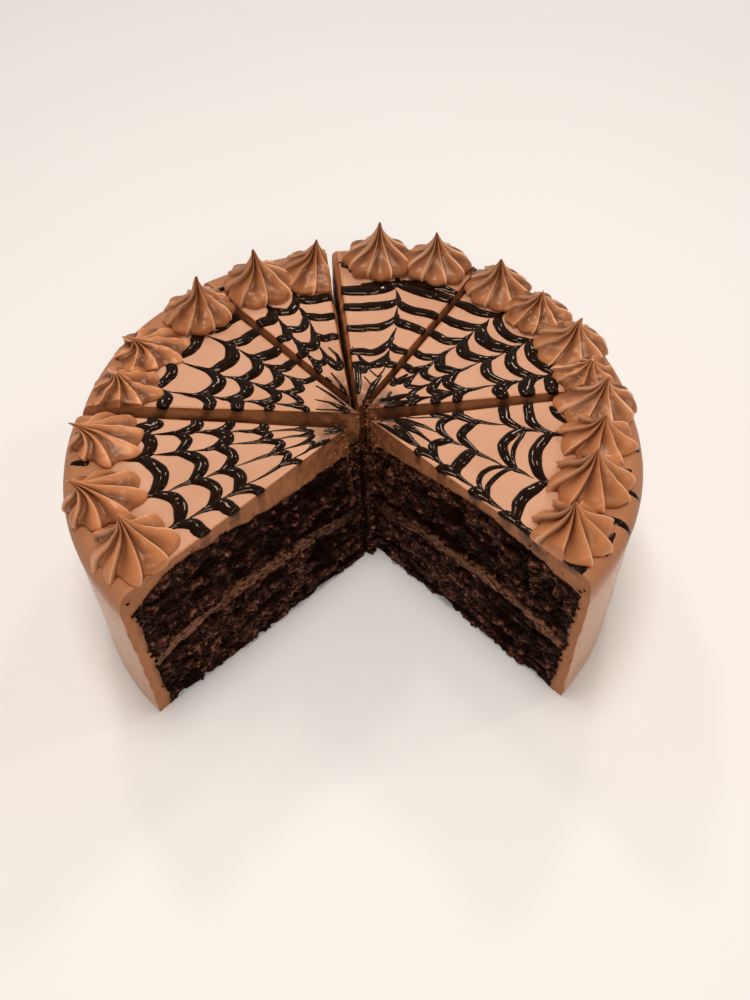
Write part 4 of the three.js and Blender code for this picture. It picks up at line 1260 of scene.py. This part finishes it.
def crumb_places(cut, which, count, random):
    """Places of crumbs on an open cut, how much light the relief lets in at each, and how small each
    is: most anywhere on the sponge, some along the edges of the layers, where they reach over
    frosting and filling, and some along the foot. Those on the frosting are the smallest."""
    turn = np.full(count, float(which))
    reach = random.uniform(0.01, 1.0, count) ** 0.8
    low = filling_height(cut, turn, reach, -1)
    high = filling_height(cut, turn, reach, 1)
    top = sponge_top(cut, turn, reach)
    kind = random.random(count)
    share = random.random(count)
    spread = random.normal(0, 0.7, count)
    # Above which value of the draw each height holds
    heights = (
        (0.0, mix(0.4, low - 0.6, share)),
        (0.4, mix(high + 0.6, top - 0.4, share)),
        (0.78, mix(low, high, random.random(count))),
        (0.83, low - 0.2 + 0.8 * spread),
        (0.88, high + 0.3 + 0.8 * spread),
        (0.925, top - 0.5 + 0.8 * spread),
        (0.955, mix(top, CAKE_TOP - 1.5, share**3)),
        (0.96, 0.5 + np.abs(spread)),
    )
    z = heights[0][1]
    for start, height in heights[1:]:
        z = np.where(kind > start, height, z)
    side = random.random(count) < 0.012
    reach = np.where(side, 1.0, reach)
    z = np.where(side, mix(2.0, top, share), z)
    radius = sponge_radius(z, turn) + np.where(side, spread, 0)
    points = slice_points(cut, turn, reach, radius, z)
    relief = crumb_relief(points)
    lift = np.clip(relief * 0.9 - 0.5, -3.5, 0.9) + random.uniform(-0.35, 0.35, count)
    lift = lift - slot_depth("f" if cut is SLICES["f"] else "a", turn, reach, z)
    lift = np.where((z > top) | side, np.clip(lift, -0.1, 0.3), lift)
    points[:, :2] += cut_normals(cut)[which] * lift[:, None]
    return points, np.clip(0.55 + 0.4 * relief, 0.1, 1), np.where(z > top, 0.45, 1.0)


def make_crumbs(name, which, settings, material):
    """The crumbs of one open cut: small lumpy solids of twenty faces, each with its own size and
    squash, longer along the layers than across them, and its own tone, random and darker in the
    hollows of the relief as painted shade."""
    random = np.random.default_rng(settings.seed + ord(name) * 3)
    cut = SLICES[name]
    count = settings.crumb_count
    spots, lit, small = crumb_places(cut, which, count, random)
    size = (0.3 + 0.7 * random.random(count) ** 2.2) * small
    points, faces = lump_solids(spots, size, heading(cut["cuts"][which]), random)
    # Painted shade: each crumb's random tone is darkened where the relief around it lets in less light
    shade = np.repeat(lit * random.random(count) ** 0.8, BALL_POINTS)
    values = {"relief": shade, "smear": np.zeros(len(shade))}
    piece = add_mesh(f"crumbs_slice_{name}", points, faces, values)
    return dress(piece, material, "sponge", crease=50)


def lump_solids(spots, size, along, random):
    """Lumpy solids of twenty faces at given spots, drawn out along a direction and squashed."""
    golden = (1 + 5**0.5) / 2
    count = len(spots)
    ball = np.array([(-1, golden, 0), (1, golden, 0), (-1, -golden, 0), (1, -golden, 0),
                     (0, -1, golden), (0, 1, golden), (0, -1, -golden), (0, 1, -golden),
                     (golden, 0, -1), (golden, 0, 1), (-golden, 0, -1), (-golden, 0, 1)]) / BALL_REACH
    sides = np.array([(0, 11, 5), (0, 5, 1), (0, 1, 7), (0, 7, 10), (0, 10, 11), (1, 5, 9), (5, 11, 4),
                      (11, 10, 2), (10, 7, 6), (7, 1, 8), (3, 9, 4), (3, 4, 2), (3, 2, 6), (3, 6, 8),
                      (3, 8, 9), (4, 9, 5), (2, 4, 11), (6, 2, 10), (8, 6, 7), (9, 8, 1)])
    stretch = size * random.uniform(0.9, 1.7, count)
    squash = random.uniform(0.6, 1.0, (count, 1, 1))
    lumpy = ball[None] * random.uniform(0.6, 1.25, (count, BALL_POINTS, 1))
    lumpy = lumpy * size[:, None, None] * np.concatenate([np.ones((count, 1, 2)), squash], -1)
    drawn = (lumpy[..., :2] @ along)[..., None] * (stretch / size - 1)[:, None, None]
    lumpy[..., :2] += drawn * along
    points = spots[:, None, :] + lumpy
    points[..., 2] = np.maximum(points[..., 2], 0.0)
    faces = (sides[None] + np.arange(count)[:, None, None] * BALL_POINTS).reshape(-1, 3)
    return points.reshape(-1, 3), np.concatenate([faces, faces[:, 2:]], 1)


def make_core(settings, material):
    """The crumb that joins the slices' points below the frosting: a lumpy column, its radius moved
    by the relief of the crumb, with a slot down its front that is cut in and painted dark as shade."""
    rows, around = CORE_STEPS
    share, angle = np.meshgrid(np.linspace(0, 1, rows), np.arange(around) * 360.0 / around, indexing="ij")
    centre = mix(np.array(CORE_FOOT), np.array(CORE_TOP), share[..., None])
    z = CORE_HEIGHT * share
    radius = 5.0 - 0.9 * share
    outline = np.concatenate([centre + heading(angle) * radius[..., None], z[..., None]], -1)
    radius = radius + np.clip(0.8 * crumb_relief(outline) - 0.2, -1.5, 0.9)
    slot = np.exp(-(((angle - CORE_SLOT) / 22.0) ** 2))
    radius = radius - 2.2 * slot
    radius = radius * np.sqrt(np.clip(1 - np.clip((share - 0.94) / 0.06, 0, 1) ** 2, 0.01, 1))
    flat = centre + heading(angle) * radius[..., None]
    points = np.concatenate([flat, z[..., None]], -1).reshape(-1, 3)
    ends = np.array([[*CORE_TOP, CORE_HEIGHT + 0.2], [*CORE_FOOT, 0.0]])
    relief = np.append(np.clip(crumb_relief(points) * 0.5 + 0.5, 0, 1), (0.5, 0.5))
    points = np.concatenate([points, ends])
    # Painted shade: the slot's crumb is given no relief, so it takes the sponge's darkest colour
    relief = relief * (1 - np.append(slot.ravel(), (0, 0)))
    random = np.random.default_rng(settings.seed + 9)
    chosen = random.choice(rows * around, 900, replace=False)
    chosen = chosen[slot.ravel()[chosen] < 0.6]
    size = 0.3 + 0.7 * random.random(len(chosen)) ** 2
    more_points, more_faces = lump_solids(points[chosen], size, heading(0.0), random)
    relief = np.append(relief, np.repeat(random.random(len(chosen)) ** 1.2, BALL_POINTS))
    faces = np.concatenate([turned_faces(rows, around), more_faces + len(points)])
    points = np.concatenate([points, more_points])
    piece = add_mesh("core_crumb", points, faces, {"relief": relief, "smear": np.zeros(len(points))})
    return dress(piece, material, "sponge", crease=50)


def make_tip_lumps(settings, material):
    """Torn lumps of stained frosting that cling round the slices' points."""
    random = np.random.default_rng(settings.seed + 5)
    spots = []
    for name, which, count, widest in TIP_LUMPS:
        cut = SLICES[name]
        reach = random.uniform(0.0, widest, count) * random.random(count)
        z = mix(63.0, 75.5, random.random(count) ** 1.2)
        places = slice_points(cut, np.full(count, float(which)), reach, np.full(count, CAKE_RADIUS), z)
        places[:, :2] += cut_normals(cut)[which] * random.uniform(-0.3, 0.5, count)[:, None]
        spots.append(places)
    for middle, spread, count in LUMP_HEAPS:
        spots.append(random.normal(0, 1, (count, 3)) * np.array(spread) + np.array(middle))
    spots = np.concatenate(spots)
    size = 0.25 + 0.55 * random.random(len(spots)) ** 1.8
    points, faces = lump_solids(spots, size, heading(20.0), random)
    values = {"relief": np.repeat(random.random(len(spots)), BALL_POINTS)}
    piece = add_mesh("tip_lumps", points, faces, values)
    return dress(piece, material, "frosting", crease=60)


# Settings, operators and panel

def size_setting(name, description, default, least=0.0):
    """A number that a user may change, with the least that it may be."""
    return bpy.props.FloatProperty(name=name, description=description, default=default, min=least)


class CakeSettings(bpy.types.PropertyGroup):
    """Sizes, in millimetres, and the seed of every random draw"""

    seed: bpy.props.IntProperty(name="Seed", description="Seed of every random draw", default=7, min=0)
    web_height: size_setting("Web height", "Height of the thickest ganache lines, in millimetres", 1.25, 0.2)
    web_width: size_setting("Web width", "Widths of the ganache lines, times their own", 1.0, 0.3)
    web_pull: size_setting("Web pull", "How far drag lines pull the rings out, in millimetres", 8.0)
    fold_depth: size_setting("Fold depth", "Depth of the rosettes' folds, times their own", 1.0)
    crest_bead: size_setting("Crest bead", "How far the thin crests stand out, in millimetres", 0.22)
    fold_skew: size_setting("Fold skew", "Power that moves a fold's deepest line to one side", 0.62, 0.2)
    crumb_depth: size_setting("Crumb depth", "Relief of the cut sponge, times its own", 1.0)
    crumb_count: bpy.props.IntProperty(
        name="Crumbs", description="How many crumbs stand out on each open cut", default=5200, min=0)


def colour_setting(name, red, green, blue):
    """A colour that a user may change."""
    return bpy.props.FloatVectorProperty(
        name=name, description=f"Base colour: {name.lower()}", subtype="COLOR", size=3, min=0, max=1,
        default=(red, green, blue))


class CakeLooks(bpy.types.PropertyGroup):
    """Colours of the sponge, filling, frosting, piping and ganache"""

    frosting_colour: colour_setting("Frosting", 0.635, 0.333, 0.205)
    frosting_shade: colour_setting("Frosting shade", 0.56, 0.275, 0.16)
    # Painted sheen: the frosting down the wall, paler as if lit from the floor
    wall_sheen_colour: colour_setting("Wall", 0.59, 0.335, 0.215)
    # Painted shade: the rim behind and between the rosettes
    rim_shade_colour: colour_setting("Rim", 0.41, 0.165, 0.075)
    # Painted shade: cut frosting, darker and redder than the top as if turned from the light
    cut_shade_colour: colour_setting("Cut frosting", 0.46, 0.17, 0.063)
    # Painted shade: the frosting's colour made deeper and redder for the piping
    shaded_piping_colour: colour_setting("Piping", 0.63, 0.232, 0.088)
    piping_shade: colour_setting("Piping shade", 0.52, 0.18, 0.063)
    # The crests' pale lines: partly paler thin frosting, partly a painted highlight
    crest_highlight_colour: colour_setting("Crest", 1.0, 0.62, 0.38)
    # Painted shade in the folds and beside the crests
    fold_shade_colour: colour_setting("Fold", 0.085, 0.02, 0.005)
    stain_colour: colour_setting("Stain", 0.12, 0.038, 0.014)
    sponge_colour: colour_setting("Sponge", 0.009, 0.0022, 0.0008)
    # Painted light: the brown of the raised lumps of crumb
    sponge_lit_colour: colour_setting("Sponge shade", 0.072, 0.023, 0.014)
    # The redder specks on the highest lumps: partly the crumb's own colour, partly painted light
    lit_crumb_colour: colour_setting("Crumb", 0.66, 0.25, 0.15)
    drag_colour: colour_setting("Dragged frosting", 0.33, 0.125, 0.05)
    filling_colour: colour_setting("Filling", 0.3, 0.108, 0.048)
    filling_shade: colour_setting("Filling shade", 0.15, 0.048, 0.02)
    ganache_colour: colour_setting("Ganache", 0.005, 0.0016, 0.0006)
    ganache_shade: colour_setting("Ganache shade", 0.012, 0.004, 0.0014)


class CAKE_OT_frosting(bpy.types.Operator):
    """Make each slice's frosting: top, shoulder and wall"""

    bl_idname = "cake.frosting"
    bl_label = "Frosting"

    def execute(self, context):
        material = frosting_material("frosting", context.scene.cake_looks)
        for name in SLICES:
            make_frosting(name, context.scene.cake, material)
        return {"FINISHED"}


class CAKE_OT_web(bpy.types.Operator):
    """Make the feathered web of ganache on each slice"""

    bl_idname = "cake.web"
    bl_label = "Ganache web"

    def execute(self, context):
        material = ganache_material("ganache", context.scene.cake_looks)
        for name in SLICES:
            make_web(name, context.scene.cake, material)
        return {"FINISHED"}


class CAKE_OT_layers(bpy.types.Operator):
    """Make each slice's two layers of sponge and the filling between them"""

    bl_idname = "cake.layers"
    bl_label = "Sponge and filling"

    def execute(self, context):
        sponge = sponge_material("sponge", context.scene.cake_looks)
        cream = filling_material("filling", context.scene.cake_looks)
        for name in SLICES:
            for kind, lower, upper in LAYERS:
                slot = "filling" if kind == "filling" else "sponge"
                material = cream if kind == "filling" else sponge
                make_layer(name, kind, lower, upper, context.scene.cake, material, slot)
        return {"FINISHED"}


class CAKE_OT_rosettes(bpy.types.Operator):
    """Make the piped rosettes along the rim"""

    bl_idname = "cake.rosettes"
    bl_label = "Rosettes"

    def execute(self, context):
        material = piping_material("piping", context.scene.cake_looks)
        for key in ROSETTES:
            make_rosette(key, context.scene.cake, material)
        return {"FINISHED"}


class CAKE_OT_crumbs(bpy.types.Operator):
    """Make the crumbs that cling to the open cuts"""

    bl_idname = "cake.crumbs"
    bl_label = "Crumbs"

    def execute(self, context):
        material = sponge_material("loose_crumb", context.scene.cake_looks)
        for name, which in (("a", 1), ("f", 0)):
            make_crumbs(name, which, context.scene.cake, material)
        make_core(context.scene.cake, material)
        make_tip_lumps(context.scene.cake, stained_material("stained_frosting", context.scene.cake_looks))
        return {"FINISHED"}


class CAKE_OT_stage(bpy.types.Operator):
    """Make the floor, the lights and the camera"""

    bl_idname = "cake.stage"
    bl_label = "Stage"

    def execute(self, context):
        make_floor()
        make_lights(context.scene)
        make_camera(context.scene)
        return {"FINISHED"}


class CAKE_PT_panel(bpy.types.Panel):
    """Lists the cake's sizes, colours and pieces"""

    bl_idname = "CAKE_PT_panel"
    bl_label = "Cake"
    bl_space_type = "VIEW_3D"
    bl_region_type = "UI"
    bl_category = "Cake"

    def draw(self, context):
        for group in (context.scene.cake, context.scene.cake_looks):
            for key in group.__annotations__:
                self.layout.prop(group, key)
        for operator in OPERATORS:
            self.layout.operator(operator.bl_idname)


OPERATORS = (CAKE_OT_stage, CAKE_OT_layers, CAKE_OT_frosting, CAKE_OT_web, CAKE_OT_rosettes, CAKE_OT_crumbs)


def make_floor():
    """A plain pale floor: a square grid of faces just below the cake's foot."""
    side = np.linspace(-FLOOR_REACH, FLOOR_REACH, FLOOR_FACES + 1)
    x, y = np.meshgrid(side, side, indexing="ij")
    points = np.stack([x.ravel(), y.ravel(), np.full(x.size, -FLOOR_DEPTH)], 1)
    floor = add_mesh("floor", points, grid_quads(len(side), len(side))[:, ::-1])
    material, tree, shader, place = new_material("pale_floor", Roughness=0.55)
    colour = blended(tree, unevenness(tree, place, 4.0, 2.0), *FLOOR_COLOURS)
    tree.links.new(colour, shader.inputs["Base Color"])
    floor.data.materials.append(material)


def add_light(name, place, width, watts, colour):
    """A square area light at a place in metres, turned to face the cake. It can't itself be seen."""
    light = bpy.data.lights.new(name, "AREA")
    light.energy = watts
    light.size = width
    light.color = colour
    lamp = bpy.data.objects.new(name, light)
    lamp.location = place
    lamp.rotation_euler = (Vector((0, 0, 0.05)) - Vector(place)).to_track_quat("-Z", "Y").to_euler()
    lamp.visible_camera = False
    bpy.context.scene.collection.objects.link(lamp)


def make_lights(scene):
    """Faint light all round, a soft lamp overhead, a fainter one in front, and three small ones,
    two behind and one on the right, that glint in the ganache."""
    world = bpy.data.worlds.new("studio")
    world.use_nodes = True
    sky = world.node_tree.nodes["Background"].inputs
    sky["Color"].default_value = WORLD_COLOUR
    sky["Strength"].default_value = WORLD_STRENGTH
    scene.world = world
    for name, lamp in LAMPS.items():
        add_light(name, *lamp)
    scene.view_settings.view_transform = "Standard"
    scene.view_settings.look = "None"


def make_camera(scene):
    """The camera: it looks down and to the right by the given angles, then rolls."""
    down = math.radians(CAMERA_DOWN)
    aside = math.radians(CAMERA_RIGHT)
    roll = math.radians(CAMERA_ROLL)
    ahead = Vector((math.sin(aside) * math.cos(down), math.cos(aside) * math.cos(down), -math.sin(down)))
    level = Vector((math.cos(aside), -math.sin(aside), 0.0))
    upright = level.cross(ahead)
    right = level * math.cos(roll) + upright * math.sin(roll)
    up = upright * math.cos(roll) - level * math.sin(roll)
    turn = Matrix((right, up, -ahead)).transposed().to_4x4()
    place = to_metres(np.array(CAMERA_PLACE))
    camera = bpy.data.cameras.new("camera")
    camera.lens = CAMERA_LENS
    camera.sensor_width = SENSOR_WIDTH
    camera.clip_start = CLIP_START
    holder = bpy.data.objects.new("camera", camera)
    holder.matrix_world = Matrix.Translation(Vector(place)) @ turn
    scene.collection.objects.link(holder)
    scene.camera = holder


CLASSES = (CakeSettings, CakeLooks, *OPERATORS, CAKE_PT_panel)


def register():
    """Registers the classes and hangs the settings on the scene."""
    for entry in CLASSES:
        bpy.utils.register_class(entry)
    bpy.types.Scene.cake = bpy.props.PointerProperty(type=CakeSettings)
    bpy.types.Scene.cake_looks = bpy.props.PointerProperty(type=CakeLooks)


def unregister():
    """Takes the settings and the classes away again."""
    del bpy.types.Scene.cake_looks
    del bpy.types.Scene.cake
    for entry in reversed(CLASSES):
        bpy.utils.unregister_class(entry)


def main():
    """Makes every piece in order."""
    register()
    bpy.ops.cake.stage()
    bpy.ops.cake.layers()
    bpy.ops.cake.frosting()
    bpy.ops.cake.web()
    bpy.ops.cake.rosettes()
    bpy.ops.cake.crumbs()


if __name__ == "__main__":
    main()
